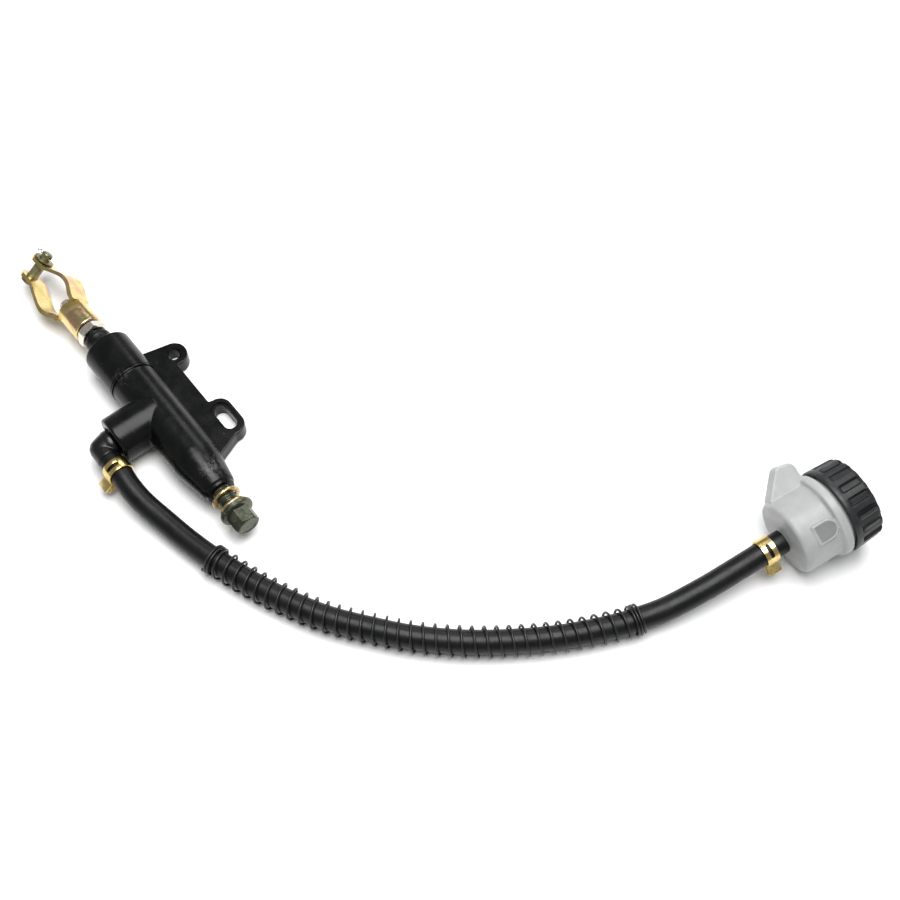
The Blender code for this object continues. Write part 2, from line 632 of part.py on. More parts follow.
def inlet_elbow():
    """The plastic elbow in the inlet boss, with its O-ring and its circlip."""
    paint = black_plastic()
    plug_r = SOCKET_R - GAP
    reach = -ELBOW_Y
    plug = [(0.0, reach + 0.0064), (0.0032, reach + 0.0055), (0.0055, reach + 0.0032), (0.0064, reach),
            (0.0072, reach - 0.0030), (0.0076, 0.0300), (0.0076, 0.0280), (0.0070, 0.0274), (0.0058, 0.0274),
            (0.0058, 0.0246), (plug_r, 0.0246), (plug_r, 0.0214), (0.0062, 0.0214), (0.0062, 0.0186),
            (plug_r, 0.0186), (plug_r, SOCKET_FLOOR + 0.0006), (0.0, SOCKET_FLOOR + 0.0006)]
    place = (BOSS_X, 0.0, BORE_Z)
    elbow = turned("inlet_elbow", plug, paint, place, ALONG_MINUS_Y, 26)
    start = HOSE_ROUTE[0][0]
    spout = [(0.0, start + 0.0125), (0.0028, start + 0.0125), (BARB_R, start + 0.0105), (0.0031, start + 0.0105),
             (BARB_R, start + 0.0070), (0.0031, start + 0.0070), (BARB_R, start + 0.0035), (0.0031, start + 0.0035),
             (0.0031, start - GAP), (0.0060, start - GAP), (0.0060, BOSS_X - 0.0002), (0.0, BOSS_X - 0.0002)]
    spout_place = (0.0, ELBOW_Y, BORE_Z)
    combine(elbow, turned("spout", spout, paint, spout_place, ALONG_X, 18, cutter=True), "UNION")
    feed = [(0.0, start + 0.0135), (0.0022, start + 0.0135), (0.0022, BOSS_X - 0.0031), (0.0, BOSS_X - 0.0031)]
    combine(elbow, turned("spout_bore", feed, paint, spout_place, ALONG_X, 12, cutter=True), "DIFFERENCE")
    down = [(0.0, reach + 0.0007), (0.0018, reach + 0.0007), (0.0018, SOCKET_FLOOR), (0.0, SOCKET_FLOOR)]
    combine(elbow, turned("plug_bore", down, paint, place, ALONG_MINUS_Y, 10, cutter=True), "DIFFERENCE")
    as_mesh(elbow)

    ring = [(plug_r, 0.0209), (plug_r, 0.0191), (0.0065, 0.0191), (0.0065, 0.0209)]
    turned("elbow_o_ring", ring, black_rubber(), place, ALONG_MINUS_Y, 24)
    outer = SOCKET_R + 0.0008 - GAP
    outline = arc(0.0, 0.0, outer, -70.0, 250.0, 28) + arc(0.0, 0.0, 0.0064, 250.0, -70.0, 28)
    plate("elbow_circlip", outline, 0.0009, black_wire(), (BOSS_X, -0.02555, BORE_Z), ALONG_MINUS_Y)


def hose_line(count):
    """The hose's centreline as equally spaced points."""
    return resample(smooth(HOSE_ROUTE, 8), count)


def hose():
    """The rubber feed hose, hollow from end to end."""
    line = hose_line(50)
    outer = as_mesh(tube("hose", line, HOSE_R, black_rubber(), bevel_resolution=3))
    ends = [line[0] + (line[0] - line[1]).normalized() * 0.001]
    ends += line[1:-1]
    ends.append(line[-1] + (line[-1] - line[-2]).normalized() * 0.001)
    inner = as_mesh(tube("hose_bore", ends, HOSE_BORE_R, black_rubber(), bevel_resolution=2, cutter=True))
    combine(outer, inner, "DIFFERENCE")
    as_mesh(outer)


def guard_angle(share):
    """How far the coil has turned, in turns, at a share of its length: the ends are close wound."""
    close_turns = 2.5
    pitch = 2 * GUARD_WIRE_R + GAP
    length = (GUARD_END - GUARD_START) * hose_length()
    close_share = close_turns * pitch / length
    if share < close_share:
        return close_turns * share / close_share
    if share > 1.0 - close_share:
        return GUARD_TURNS - close_turns * (1.0 - share) / close_share
    open_turns = GUARD_TURNS - 2 * close_turns
    return close_turns + open_turns * (share - close_share) / (1.0 - 2 * close_share)


def hose_length():
    """Length of the hose's centreline."""
    line = hose_line(200)
    return sum((b - a).length for a, b in zip(line, line[1:]))


def spring_guard():
    """The loose wire coil that keeps the hose from kinking and rubbing through."""
    fine = hose_line(400)
    per_turn = 8
    count = GUARD_TURNS * per_turn
    shares = [i / 4000 for i in range(4001)]
    turns = [guard_angle(share) for share in shares]
    points = []
    step = 0
    for i in range(count + 1):
        target = i / per_turn
        while step < 3999 and turns[step + 1] < target:
            step += 1
        span = turns[step + 1] - turns[step]
        share = shares[step] + (shares[step + 1] - shares[step]) * (target - turns[step]) / span
        along = (GUARD_START + (GUARD_END - GUARD_START) * share) * (len(fine) - 1)
        base = min(int(along), len(fine) - 2)
        centre = fine[base].lerp(fine[base + 1], along - base)
        forward = (fine[base + 1] - fine[base]).normalized()
        side = forward.cross(Vector((0.0, 0.0, 1.0))).normalized()
        up = side.cross(forward)
        angle = 2 * math.pi * target
        points.append(centre + side * (GUARD_R * math.cos(angle)) - up * (GUARD_R * math.sin(angle)))
    as_mesh(tube("spring_guard", points, GUARD_WIRE_R, black_wire(), bevel_resolution=0))


def band_outline(tab_angle):
    """A sprung band seen along the hose: nearly a full ring, with two tabs bent outwards."""
    inner = HOSE_R + GAP
    outer = inner + CLAMP_T
    half = 10.0
    tab = 0.0058
    loop = arc(0.0, 0.0, outer, tab_angle + half + 6.0, tab_angle + 360.0 - half - 6.0, 26)
    out = math.radians(tab_angle)
    across = Vector((-math.sin(out), math.cos(out)))
    radial = Vector((math.cos(out), math.sin(out)))
    tip = outer + tab
    for side, spread in ((-1, 0.0017), (-1, 0.0010)):
        point = radial * tip + across * side * spread
        loop.append((point.x, point.y))
    loop += arc(0.0, 0.0, inner, tab_angle + 360.0 - half, tab_angle + half, 26)
    for spread in (0.0010, 0.0017):
        point = radial * tip + across * spread
        loop.append((point.x, point.y))
    return loop


def hose_clamp(name, centre, turn, tab_angle, slot_angle, carrier=None):
    """A sprung band clamp with a long slot through its band."""
    gold = yellow_zinc()
    band = plate(name, band_outline(tab_angle), CLAMP_W, gold, centre, turn)
    band.parent = carrier
    slot_r = HOSE_R + 0.004
    wedge = [(0.0, 0.0), *arc(0.0, 0.0, slot_r, slot_angle - 42.0, slot_angle + 42.0, 8)]
    slot = plate(name + "_slot", wedge, 0.0026, gold, centre, turn, cutter=True)
    slot.parent = carrier
    combine(band, slot, "DIFFERENCE")
    as_mesh(band)


def reservoir_axis():
    """The empty at the reservoir's bottom that sets the way its axis points."""
    empty = bpy.data.objects.new("reservoir_axis", None)
    collection(COLLECTION).objects.link(empty)
    empty.location = (RES_X, RES_Y, RES_Z)
    empty.rotation_euler = (RES_TILT, 0.0, RES_YAW)
    return empty


def hose_clamps(empty):
    """One clamp over each end of the hose."""
    hose_clamp("hose_clamp_elbow", (0.0214, ELBOW_Y, BORE_Z), ALONG_X, -54.0, 200.0)
    hose_clamp("hose_clamp_reservoir", (0.0, -0.0112, 0.0), ALONG_Y, 48.0, -65.0, empty)


def reservoir(empty):
    """The fluid reservoir: a cup with a barbed nipple, a mounting lug and a sight window."""
    paint = milky_plastic()
    inner = RES_BODY_R - RES_WALL
    base = (0.0, 0.0, 0.0)
    flange_end = FLANGE_START + FLANGE_T
    profile = [(RES_BODY_R, RES_RIM), (RES_BODY_R, flange_end), (FLANGE_R, flange_end),
               (FLANGE_R, FLANGE_START), (RES_BODY_R, FLANGE_START - 0.0006), (RES_BODY_R, 0.0030),
               (RES_BODY_R - 0.0009, 0.0009), (RES_BODY_R - 0.0030, 0.0), (0.0060, 0.0), (0.0034, -0.0016),
               (0.0034, -0.0050), (BARB_R, -0.0056), (0.0033, -0.0095), (BARB_R, -0.0100), (0.0033, -0.0140),
               (0.0030, -0.0165), (0.0020, -0.0165), (0.0020, 0.0018), (inner - 0.0030, 0.0018),
               (inner - 0.0008, 0.0026), (inner, 0.0048), (inner, RES_RIM)]
    cup = turned("reservoir", profile, paint, base, ALONG_Y, 30)
    cup.parent = empty

    lug_loop = [(-0.0175, 0.0010), (-0.0205, 0.0024), *arc(-0.0270, 0.0145, 0.0052, 205.0, 150.0, 3), *arc(-0.0270, 0.0168, 0.0052, 145.0, 70.0, 5),
                (-0.0210, 0.0228), (-0.0175, 0.0225)]
    tilted = (0.0, LUG_TILT, 0.0)
    lug = plate("lug", lug_loop, LUG_T, paint, base, tilted, cutter=True)
    lug.parent = empty
    combine(cup, lug, "UNION")
    below = (-0.0050 * math.sin(LUG_TILT), 0.0, -0.0050 * math.cos(LUG_TILT))
    screw_hole = arc(*LUG_HOLE, LUG_HOLE_R, 0.0, 337.5, 15)
    lug_hole = plate("lug_hole", screw_hole, 0.0130, paint, below, tilted, cutter=True)
    lug_hole.parent = empty
    combine(cup, lug_hole, "DIFFERENCE")

    arch = [(0.0052, 0.0075), (0.0052, 0.0145), *arc(0.0, 0.0145, 0.0052, 0.0, 180.0, 10), (-0.0052, 0.0075)]
    face = RES_BODY_R - 0.0004
    place = (face * math.cos(WINDOW_TILT), 0.0, face * math.sin(WINDOW_TILT))
    pad = plate("window_pad", arch, 0.0030, paint, place, (0.0, math.pi / 2 - WINDOW_TILT, 0.0), cutter=True)
    pad.parent = empty
    combine(cup, pad, "UNION")
    room = [(0.0, 0.030), (inner, 0.030), (inner, 0.0048), (inner - 0.0008, 0.0026), (inner - 0.0030, 0.0018),
            (0.0, 0.0018)]
    bore = turned("cup_bore", room, paint, base, ALONG_Y, 30, cutter=True)
    bore.parent = empty
    combine(cup, bore, "DIFFERENCE")
    as_mesh(cup)


def cap_outline():
    """The cap's ribbed outline: broad ribs with narrow valleys between them."""
    valley = CAP_R - 0.0009
    loop = []
    step = 360.0 / CAP_RIBS
    for i in range(CAP_RIBS):
        start = i * step
        loop += arc(0.0, 0.0, CAP_R, start, start + 0.52 * step, 2)
        loop += arc(0.0, 0.0, valley, start + 0.66 * step, start + 0.86 * step, 1)
    return loop


def reservoir_cap(empty):
    """The ribbed screw cap, hollow, tapered, with a plain band round its rim."""
    paint = black_plastic()
    inner = RES_BODY_R + 0.0006
    roof = 0.0022
    rim = CAP_R + 0.0002
    place = (0.0, CAP_START, 0.0)
    profile = [(0.0, 0.0036), (rim, 0.0036), (rim, 0.0), (0.0, 0.0)]
    cap = turned("reservoir_cap", profile, paint, place, ALONG_Y, 40)
    cap.parent = empty
    ribs = plate("cap_ribs", cap_outline(), CAP_H - 0.0020, paint, (0.0, CAP_START + (CAP_H + 0.0020) / 2, 0.0),
                 ALONG_Y, cutter=True)
    ribs.parent = empty
    combine(cap, ribs, "UNION")
    hollow = [(0.0, CAP_H - roof), (inner, CAP_H - roof), (inner, -0.001), (0.0, -0.001)]
    room = turned("cap_hollow", hollow, paint, place, ALONG_Y, 36, cutter=True)
    room.parent = empty
    combine(cap, room, "DIFFERENCE")
    cap = as_mesh(cap)
    for vertex in cap.data.vertices:
        if math.hypot(vertex.co.x, vertex.co.y) > CAP_R - 0.0014:
            shrink = 1.0 - CAP_TAPER * vertex.co.z / CAP_H
            vertex.co.x *= shrink
            vertex.co.y *= shrink


def diaphragm_pieces(empty):
    """The rubber diaphragm on the reservoir's rim, and the plate that the cap presses on it."""
    place = (0.0, RES_RIM, 0.0)
    profile = [(0.0, -0.0075), (0.0118, -0.0075), (0.0155, -0.0066), (0.0160, 0.0014), (RES_BODY_R, 0.0014),
               (RES_BODY_R, GAP), (0.0170, GAP), (0.0165, -0.0075), (0.0120, -0.0085), (0.0, -0.0085)]
    cup = turned("diaphragm", profile, black_rubber(), place, ALONG_Y, 24)
    cup.parent = empty
    disc = [(0.0, 0.0024), (RES_BODY_R, 0.0024), (RES_BODY_R, 0.0014 + GAP), (0.0, 0.0014 + GAP)]
    presser = turned("diaphragm_plate", disc, milky_plastic(), place, ALONG_Y, 24)
    presser.parent = empty


def build():
    """Make every piece of the object."""
    clear_scene()
    cylinder_body()
    piston_group()
    return_spring()
    mouth_pieces()
    dust_boot()
    empty = rod_axis()
    pushrod(empty)
    lock_nut(empty)
    clevis(empty)
    pin_pieces(empty)
    banjo_pieces()
    inlet_elbow()
    hose()
    spring_guard()
    tank = reservoir_axis()
    hose_clamps(tank)
    reservoir(tank)
    reservoir_cap(tank)
    diaphragm_pieces(tank)
    for obj in collection(COLLECTION).objects:
        if obj.type == "MESH":
            shade(obj)


build()
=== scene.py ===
"""Studio scene of a rear brake master cylinder with its remote reservoir and feed hose.

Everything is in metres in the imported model's frame: +X along the bore towards the banjo bolt,
+Y towards the mounting ears, +Z up, with the origin on the flange's back face.
"""
import json
import math

import bmesh
import bpy
from mathutils import Matrix, Vector


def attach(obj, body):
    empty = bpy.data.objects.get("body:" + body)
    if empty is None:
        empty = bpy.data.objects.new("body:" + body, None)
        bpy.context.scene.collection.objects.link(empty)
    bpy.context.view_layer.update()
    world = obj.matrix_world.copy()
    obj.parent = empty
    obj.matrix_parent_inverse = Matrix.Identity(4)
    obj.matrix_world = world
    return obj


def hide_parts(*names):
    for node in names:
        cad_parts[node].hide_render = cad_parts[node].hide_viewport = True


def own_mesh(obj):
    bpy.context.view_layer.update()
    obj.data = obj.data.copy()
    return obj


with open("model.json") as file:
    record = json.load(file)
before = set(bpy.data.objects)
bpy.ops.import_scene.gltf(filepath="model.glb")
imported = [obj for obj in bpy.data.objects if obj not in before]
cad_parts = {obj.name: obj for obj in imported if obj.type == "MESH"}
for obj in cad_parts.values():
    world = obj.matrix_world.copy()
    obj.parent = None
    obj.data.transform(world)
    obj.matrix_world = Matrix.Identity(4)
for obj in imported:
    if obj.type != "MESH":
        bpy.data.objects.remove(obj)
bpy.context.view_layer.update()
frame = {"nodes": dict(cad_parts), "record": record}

SCENE = bpy.context.scene
ON_AXIS = 1e-7                          # a radius below this is a point on the axis
MERGE_DISTANCE = 0.000004

# Where the parts are, in metres, as the CAD has them.
MOUTH_X = -0.046
BORE_Z = 0.0135
BODY_LENGTH = 0.110
NOSE_X = MOUTH_X + BODY_LENGTH
BOSS_X = 0.0055
ELBOW_Y = -0.0342
EAR_T = 0.0085
EAR_Y = 0.0273
HOLE_X = -0.025
SLOT_X = 0.025
BALL_X = 0.0150
ROD_YAW = math.radians(1.9)
FORK_ROLL = math.radians(35.0)
BOOT_END = -0.0108
PIN_X = -0.0700
EAR_HALF = 0.0067
HOSE_R = 0.0060
HOSE_ROUTE = (
    (0.0135, -0.0342, 0.0135), (0.0195, -0.0342, 0.0135), (0.0255, -0.0342, 0.0134),
    (0.0330, -0.0344, 0.0123), (0.0435, -0.0335, 0.0106), (0.0577, -0.0306, 0.0090),
    (0.0750, -0.0270, 0.0083), (0.0936, -0.0219, 0.0083), (0.1203, -0.0124, 0.0083),
    (0.1479, 0.0013, 0.0083), (0.1715, 0.0186, 0.0083), (0.1858, 0.0308, 0.0083),
    (0.2013, 0.0471, 0.0083), (0.2157, 0.0660, 0.0083), (0.2286, 0.0863, 0.0083),
    (0.2396, 0.1085, 0.0083), (0.2438, 0.1195, 0.0086), (0.2486, 0.1335, 0.0100),
    (0.2530, 0.1530, 0.0134), (0.2560, 0.1712, 0.0165), (0.2574, 0.1810, 0.0179),
    (0.2585, 0.1889, 0.0190), (0.2597, 0.1973, 0.0202),
)
GUARD_START = 0.205
GUARD_END = 0.787
GUARD_TURNS = 40
GUARD_R = 0.0074
GUARD_WIRE_R = 0.00065
GUARD_CLOSE_TURNS = 2.5                 # close wound, at each end
GUARD_CLOSE_GAP = 0.0003
CAP_RIBS = 18

# Places where a finish changes, each with how far it reaches.
# The nose patch is worn paint and a painted highlight: grey streaks where the light falls on the taper.
NOSE_WEAR_AND_HIGHLIGHT = ((0.0545, 0.0030, 0.0235), 0.0085)
BARREL_RUB = ((-0.0190, -0.0060, 0.0262), 0.0060)
PIN_GOLD = ((-0.1160, -0.0028, 0.0135), 0.020)
# Painted highlight on the cap's rib tops, which begins and becomes full at these distances from its axis.
CAP_RIB_HIGHLIGHT_FROM = 0.0203                  # out from the cap's axis
CAP_RIB_HIGHLIGHT_FULL = 0.0214

TURN_X = Matrix.Rotation(math.pi / 2, 4, "Y")           # lays +Z along +X
TURN_Y = Matrix.Rotation(-math.pi / 2, 4, "X")          # lays +Z along +Y
TURN_MINUS_Y = Matrix.Rotation(math.pi / 2, 4, "X")     # lays +Z along -Y
BORE = Matrix.Translation((MOUTH_X, 0.0, BORE_Z)) @ TURN_X
NOSE = Matrix.Translation((NOSE_X, 0.0, BORE_Z)) @ TURN_X
BOSS = Matrix.Translation((BOSS_X, 0.0, BORE_Z)) @ TURN_MINUS_Y
ROD = (Matrix.Translation((MOUTH_X + BALL_X, 0.0, BORE_Z)) @ Matrix.Rotation(ROD_YAW, 4, "Z")
       @ Matrix.Rotation(FORK_ROLL, 4, "X") @ Matrix.Translation((-BALL_X, 0.0, 0.0)))
TANK = (Matrix.Translation((0.2599, 0.1987, 0.0204)) @ Matrix.Rotation(math.radians(-8.0), 4, "Z")
        @ Matrix.Rotation(math.radians(8.0), 4, "X"))


# ---------------------------------------------------------------- materials

class Shader:
    """A node tree with a Principled shader, and short ways to add what feeds it."""

    def __init__(self, name):
        self.material = bpy.data.materials.new(name)
        self.material.use_nodes = True
        self.tree = self.material.node_tree
        self.out = self.tree.nodes["Principled BSDF"]
        self.place = self.tree.nodes.new("ShaderNodeTexCoord").outputs["Object"]

    def link(self, source, target):
        self.tree.links.new(source, target)

    def fixed(self, **values):
        for key, value in values.items():
            self.out.inputs[key.replace("_", " ")].default_value = value

    def noise(self, scale, detail=3.0, rough=0.5, stretch=None):
        node = self.tree.nodes.new("ShaderNodeTexNoise")
        node.inputs["Scale"].default_value = scale
        node.inputs["Detail"].default_value = detail
        node.inputs["Roughness"].default_value = rough
        source = self.place
        if stretch is not None:
            mapping = self.tree.nodes.new("ShaderNodeMapping")
            mapping.inputs["Scale"].default_value = stretch
            self.link(source, mapping.inputs["Vector"])
            source = mapping.outputs["Vector"]
        self.link(source, node.inputs["Vector"])
        return node.outputs["Fac"]

    def ramp(self, source, stops):
        node = self.tree.nodes.new("ShaderNodeValToRGB")
        marks = node.color_ramp.elements
        while len(marks) < len(stops):
            marks.new(0.5)
        for mark, (where, color) in zip(marks, stops):
            mark.position = where
            mark.color = (*color, 1.0)
        self.link(source, node.inputs["Fac"])
        return node.outputs["Color"]

    def span(self, source, low, high, start=0.3, end=0.7):
        node = self.tree.nodes.new("ShaderNodeMapRange")
        node.inputs["From Min"].default_value = start
        node.inputs["From Max"].default_value = end
        node.inputs["To Min"].default_value = low
        node.inputs["To Max"].default_value = high
        self.link(source, node.inputs["Value"])
        return node.outputs["Result"]

    def math(self, kind, a, b):
        node = self.tree.nodes.new("ShaderNodeMath")
        node.operation = kind
        for slot_in, value in zip(node.inputs, (a, b)):
            if isinstance(value, (int, float)):
                slot_in.default_value = value
            else:
                self.link(value, slot_in)
        return node.outputs["Value"]

    def mix(self, amount, a, b):
        """From a color that varies towards a plain one, by an amount."""
        node = self.tree.nodes.new("ShaderNodeMix")
        node.data_type = "RGBA"
        inputs = {(plug.name, plug.type): plug for plug in node.inputs}
        self.link(amount, inputs["Factor", "VALUE"])
        self.link(a, inputs["A", "RGBA"])
        inputs["B", "RGBA"].default_value = (*b, 1.0)
        return [plug for plug in node.outputs if plug.type == "RGBA"][0]

    def vector_math(self, kind, source, other=None):
        node = self.tree.nodes.new("ShaderNodeVectorMath")
        node.operation = kind
        if other is not None:
            node.inputs[1].default_value = other
        self.link(source, node.inputs[0])
        return node.outputs

    def near(self, point, radius):
        """1 at a point of the object, falling to 0 at the radius."""
        distance = self.vector_math("DISTANCE", self.place, point)["Value"]
        return self.span(distance, 1.0, 0.0, 0.0, radius)

    def from_axis(self, point, direction):
        """How far a place on the object is from a line."""
        offset = self.vector_math("SUBTRACT", self.place, point)["Vector"]
        cross = self.vector_math("CROSS_PRODUCT", offset, direction)["Vector"]
        return self.vector_math("LENGTH", cross)["Value"]

    def bump(self, source, strength, distance, after=None):
        node = self.tree.nodes.new("ShaderNodeBump")
        node.inputs["Strength"].default_value = strength
        node.inputs["Distance"].default_value = distance
        self.link(source, node.inputs["Height"])
        if after is not None:
            self.link(after, node.inputs["Normal"])
        self.link(node.outputs["Normal"], self.out.inputs["Normal"])
        return node.outputs["Normal"]

    def color(self, source):
        self.link(source, self.out.inputs["Base Color"])

    def rough(self, source):
        self.link(source, self.out.inputs["Roughness"])


def black_casting():
    """Glossy black paint over a cast surface, rubbed grey where it has been handled, with a painted highlight
    in the nose's worn patch.
    """
    s = Shader("black_casting")
    broad = s.noise(110.0, 4.0, 0.6)
    fine = s.noise(1500.0, 3.0, 0.6)
    paint = s.ramp(broad, ((0.30, (0.0016, 0.0019, 0.0018)), (0.70, (0.0042, 0.0046, 0.0044))))
    # Grey streaks on the nose: partly worn paint, partly a painted highlight.
    chips_and_glints = s.span(s.noise(330.0, 5.0, 0.75, (0.5, 1.0, 1.0)), 0.0, 1.0, 0.46, 0.64)
    worn_and_highlight = s.math("MULTIPLY", s.near(*NOSE_WEAR_AND_HIGHLIGHT), chips_and_glints)
    scuffs = s.span(s.noise(500.0, 4.0, 0.7), 0.0, 0.4, 0.5, 0.66)
    rub = s.math("MULTIPLY", s.near(*BARREL_RUB), scuffs)
    mark = s.math("MAXIMUM", worn_and_highlight, rub)
    specks = s.span(s.noise(420.0, 2.0, 0.4), 0.0, 0.35, 0.74, 0.79)
    mark = s.math("MAXIMUM", mark, specks)
    s.color(s.mix(mark, paint, (0.150, 0.155, 0.150)))
    s.rough(s.math("ADD", s.span(broad, 0.20, 0.32), s.math("MULTIPLY", mark, 0.16)))
    s.fixed(Specular_IOR_Level=0.20)
    first = s.bump(fine, 0.16, 0.00010)
    s.bump(broad, 0.30, 0.0005, first)
    return s.material


def black_plastic():
    """Moulded black plastic with a faint orange peel."""
    s = Shader("black_plastic")
    broad = s.noise(160.0, 3.0)
    s.color(s.ramp(broad, ((0.3, (0.0028, 0.0028, 0.0034)), (0.7, (0.0065, 0.0065, 0.0074)))))
    s.rough(s.span(s.noise(700.0), 0.22, 0.34))
    s.fixed(Specular_IOR_Level=0.40)
    s.bump(s.noise(1100.0, 2.0), 0.18, 0.00012)
    return s.material


def cap_plastic():
    """Matte black plastic, with a painted highlight on the high rib tops."""
    s = Shader("cap_plastic")
    broad = s.noise(120.0, 4.0, 0.6)
    shade = s.ramp(broad, ((0.3, (0.0024, 0.0026, 0.0029)), (0.7, (0.0052, 0.0055, 0.0060))))
    from_middle = s.from_axis(TANK.translation, TANK.col[1].to_3d())
    # Painted highlight: the rib tops are made lighter than the valleys, as if lit from above.
    rib_highlight = s.span(from_middle, 0.0, 1.0, CAP_RIB_HIGHLIGHT_FROM, CAP_RIB_HIGHLIGHT_FULL)
    rib_highlight = s.math("MULTIPLY", rib_highlight, s.span(s.noise(300.0, 4.0, 0.6), 0.45, 1.0))
    s.color(s.mix(rib_highlight, shade, (0.0190, 0.0200, 0.0215)))
    s.rough(s.span(s.noise(520.0), 0.36, 0.50))
    s.fixed(Specular_IOR_Level=0.35)
    s.bump(s.noise(1600.0, 3.0), 0.25, 0.00012)
    return s.material


def black_rubber():
    """Black rubber, slightly uneven, with dull patches."""
    s = Shader("black_rubber")
    broad = s.noise(75.0, 4.0, 0.6)
    s.color(s.ramp(broad, ((0.3, (0.0022, 0.0024, 0.0026)), (0.7, (0.0062, 0.0065, 0.0069)))))
    s.rough(s.span(s.noise(240.0, 4.0, 0.65), 0.30, 0.46))
    s.fixed(Specular_IOR_Level=0.24)
    first = s.bump(s.noise(900.0, 3.0), 0.20, 0.00015)
    s.bump(broad, 0.30, 0.0006, first)
    return s.material


def black_wire():
    """Black coated spring wire, slightly shiny."""
    s = Shader("black_wire")
    broad = s.noise(300.0, 3.0)
    s.color(s.ramp(broad, ((0.3, (0.005, 0.005, 0.005)), (0.7, (0.013, 0.013, 0.014)))))
    s.fixed(Metallic=0.15)
    s.rough(s.span(s.noise(900.0), 0.28, 0.46))
    s.bump(s.noise(2500.0, 2.0), 0.15, 0.00006)
    return s.material


def yellow_zinc():
    """Yellow passivated zinc with drifting pink and green tints and fine draw marks."""
    s = Shader("yellow_zinc")
    drift = s.noise(85.0, 2.0, 0.45)
    base = s.ramp(drift, ((0.30, (0.52, 0.47, 0.20)), (0.44, (0.72, 0.54, 0.20)),
                          (0.54, (0.82, 0.65, 0.30)), (0.62, (0.70, 0.44, 0.27)),
                          (0.72, (0.54, 0.51, 0.25))))
    stain = s.span(s.noise(260.0, 4.0, 0.6), 0.0, 0.45, 0.52, 0.72)
    s.color(s.mix(stain, base, (0.38, 0.28, 0.11)))
    s.fixed(Metallic=1.0)
    s.rough(s.span(s.noise(420.0, 4.0, 0.6), 0.14, 0.30))
    first = s.bump(s.noise(900.0, 3.0, 0.5, (1.0, 6.0, 6.0)), 0.14, 0.00010)
    s.bump(s.noise(180.0, 3.0), 0.20, 0.0004, first)
    return s.material


def olive_zinc():
    """Dark olive passivated zinc, turning golden at the clevis pin."""
    s = Shader("olive_zinc")
    drift = s.noise(170.0, 3.0, 0.55)
    base = s.ramp(drift, ((0.30, (0.048, 0.056, 0.038)), (0.50, (0.080, 0.088, 0.062)),
                          (0.70, (0.130, 0.132, 0.098))))
    gold = s.math("MULTIPLY", s.near(*PIN_GOLD), s.span(s.noise(260.0), 0.35, 1.0))
    base = s.mix(gold, base, (0.52, 0.46, 0.24))
    dulling = s.span(s.noise(700.0, 4.0), 0.0, 0.4, 0.55, 0.75)
    s.color(s.mix(dulling, base, (0.32, 0.32, 0.27)))
    s.fixed(Metallic=0.88)
    s.rough(s.span(s.noise(500.0, 3.0), 0.28, 0.46))
    s.bump(s.noise(1200.0, 3.0), 0.20, 0.00010)
    return s.material


def bright_steel():
    """Bright zinc plated steel with fine turning marks."""
    s = Shader("bright_steel")
    drift = s.noise(220.0, 3.0, 0.5)
    s.color(s.ramp(drift, ((0.30, (0.70, 0.65, 0.54)), (0.55, (0.82, 0.77, 0.70)),
                           (0.75, (0.86, 0.78, 0.72)))))
    s.fixed(Metallic=1.0)
    s.rough(s.span(s.noise(800.0, 4.0), 0.16, 0.34))
    s.bump(s.noise(1000.0, 2.0, 0.5, (5.0, 1.0, 1.0)), 0.12, 0.00008)
    return s.material


def copper():
    """Plain copper, tarnished grey in patches."""
    s = Shader("copper")
    drift = s.noise(260.0, 4.0, 0.6)
    base = s.ramp(drift, ((0.30, (0.46, 0.33, 0.15)), (0.55, (0.68, 0.50, 0.24)),
                          (0.75, (0.76, 0.63, 0.36))))
    tarnish = s.span(s.noise(480.0, 3.0), 0.0, 0.75, 0.48, 0.66)
    s.color(s.mix(tarnish, base, (0.27, 0.23, 0.18)))
    s.fixed(Metallic=1.0)
    s.rough(s.span(s.noise(900.0, 3.0), 0.24, 0.42))
    s.bump(s.noise(1500.0, 3.0), 0.20, 0.00008)
    return s.material


def milky_plastic(name="milky_plastic", low=(0.40, 0.41, 0.41), high=(0.53, 0.54, 0.54), through=0.30):
    """Milky moulded plastic that lets some light through."""
    s = Shader(name)
    broad = s.noise(60.0, 4.0, 0.6)
    s.color(s.ramp(broad, ((0.30, low), (0.70, high))))
    s.rough(s.span(s.noise(300.0, 3.0), 0.34, 0.48))
    s.fixed(Subsurface_Weight=0.55, Subsurface_Radius=(0.0040, 0.0042, 0.0044), Subsurface_Scale=1.0,
            Transmission_Weight=through, IOR=1.45)
    first = s.bump(s.noise(900.0, 3.0), 0.10, 0.00012)
    s.bump(broad, 0.30, 0.0008, first)
    return s.material


MATERIALS = {
    "black_casting": black_casting(),
    "black_plastic": black_plastic(),
    "cap_plastic": cap_plastic(),
    "black_rubber": black_rubber(),
    "black_wire": black_wire(),
    "yellow_zinc": yellow_zinc(),
    "olive_zinc": olive_zinc(),
    "bright_steel": bright_steel(),
    "copper": copper(),
    "milky_plastic": milky_plastic(),
}


# ---------------------------------------------------------------- mesh tools

def add_object(name, data):
    obj = bpy.data.objects.new(name, data)
    SCENE.collection.objects.link(obj)
    return obj


def finished(name, work):
    """A bmesh as an object, its faces turned outwards."""
    bmesh.ops.recalc_face_normals(work, faces=work.faces)
    mesh = bpy.data.meshes.new(name)
    work.to_mesh(mesh)
    work.free()
    return add_object(name, mesh)


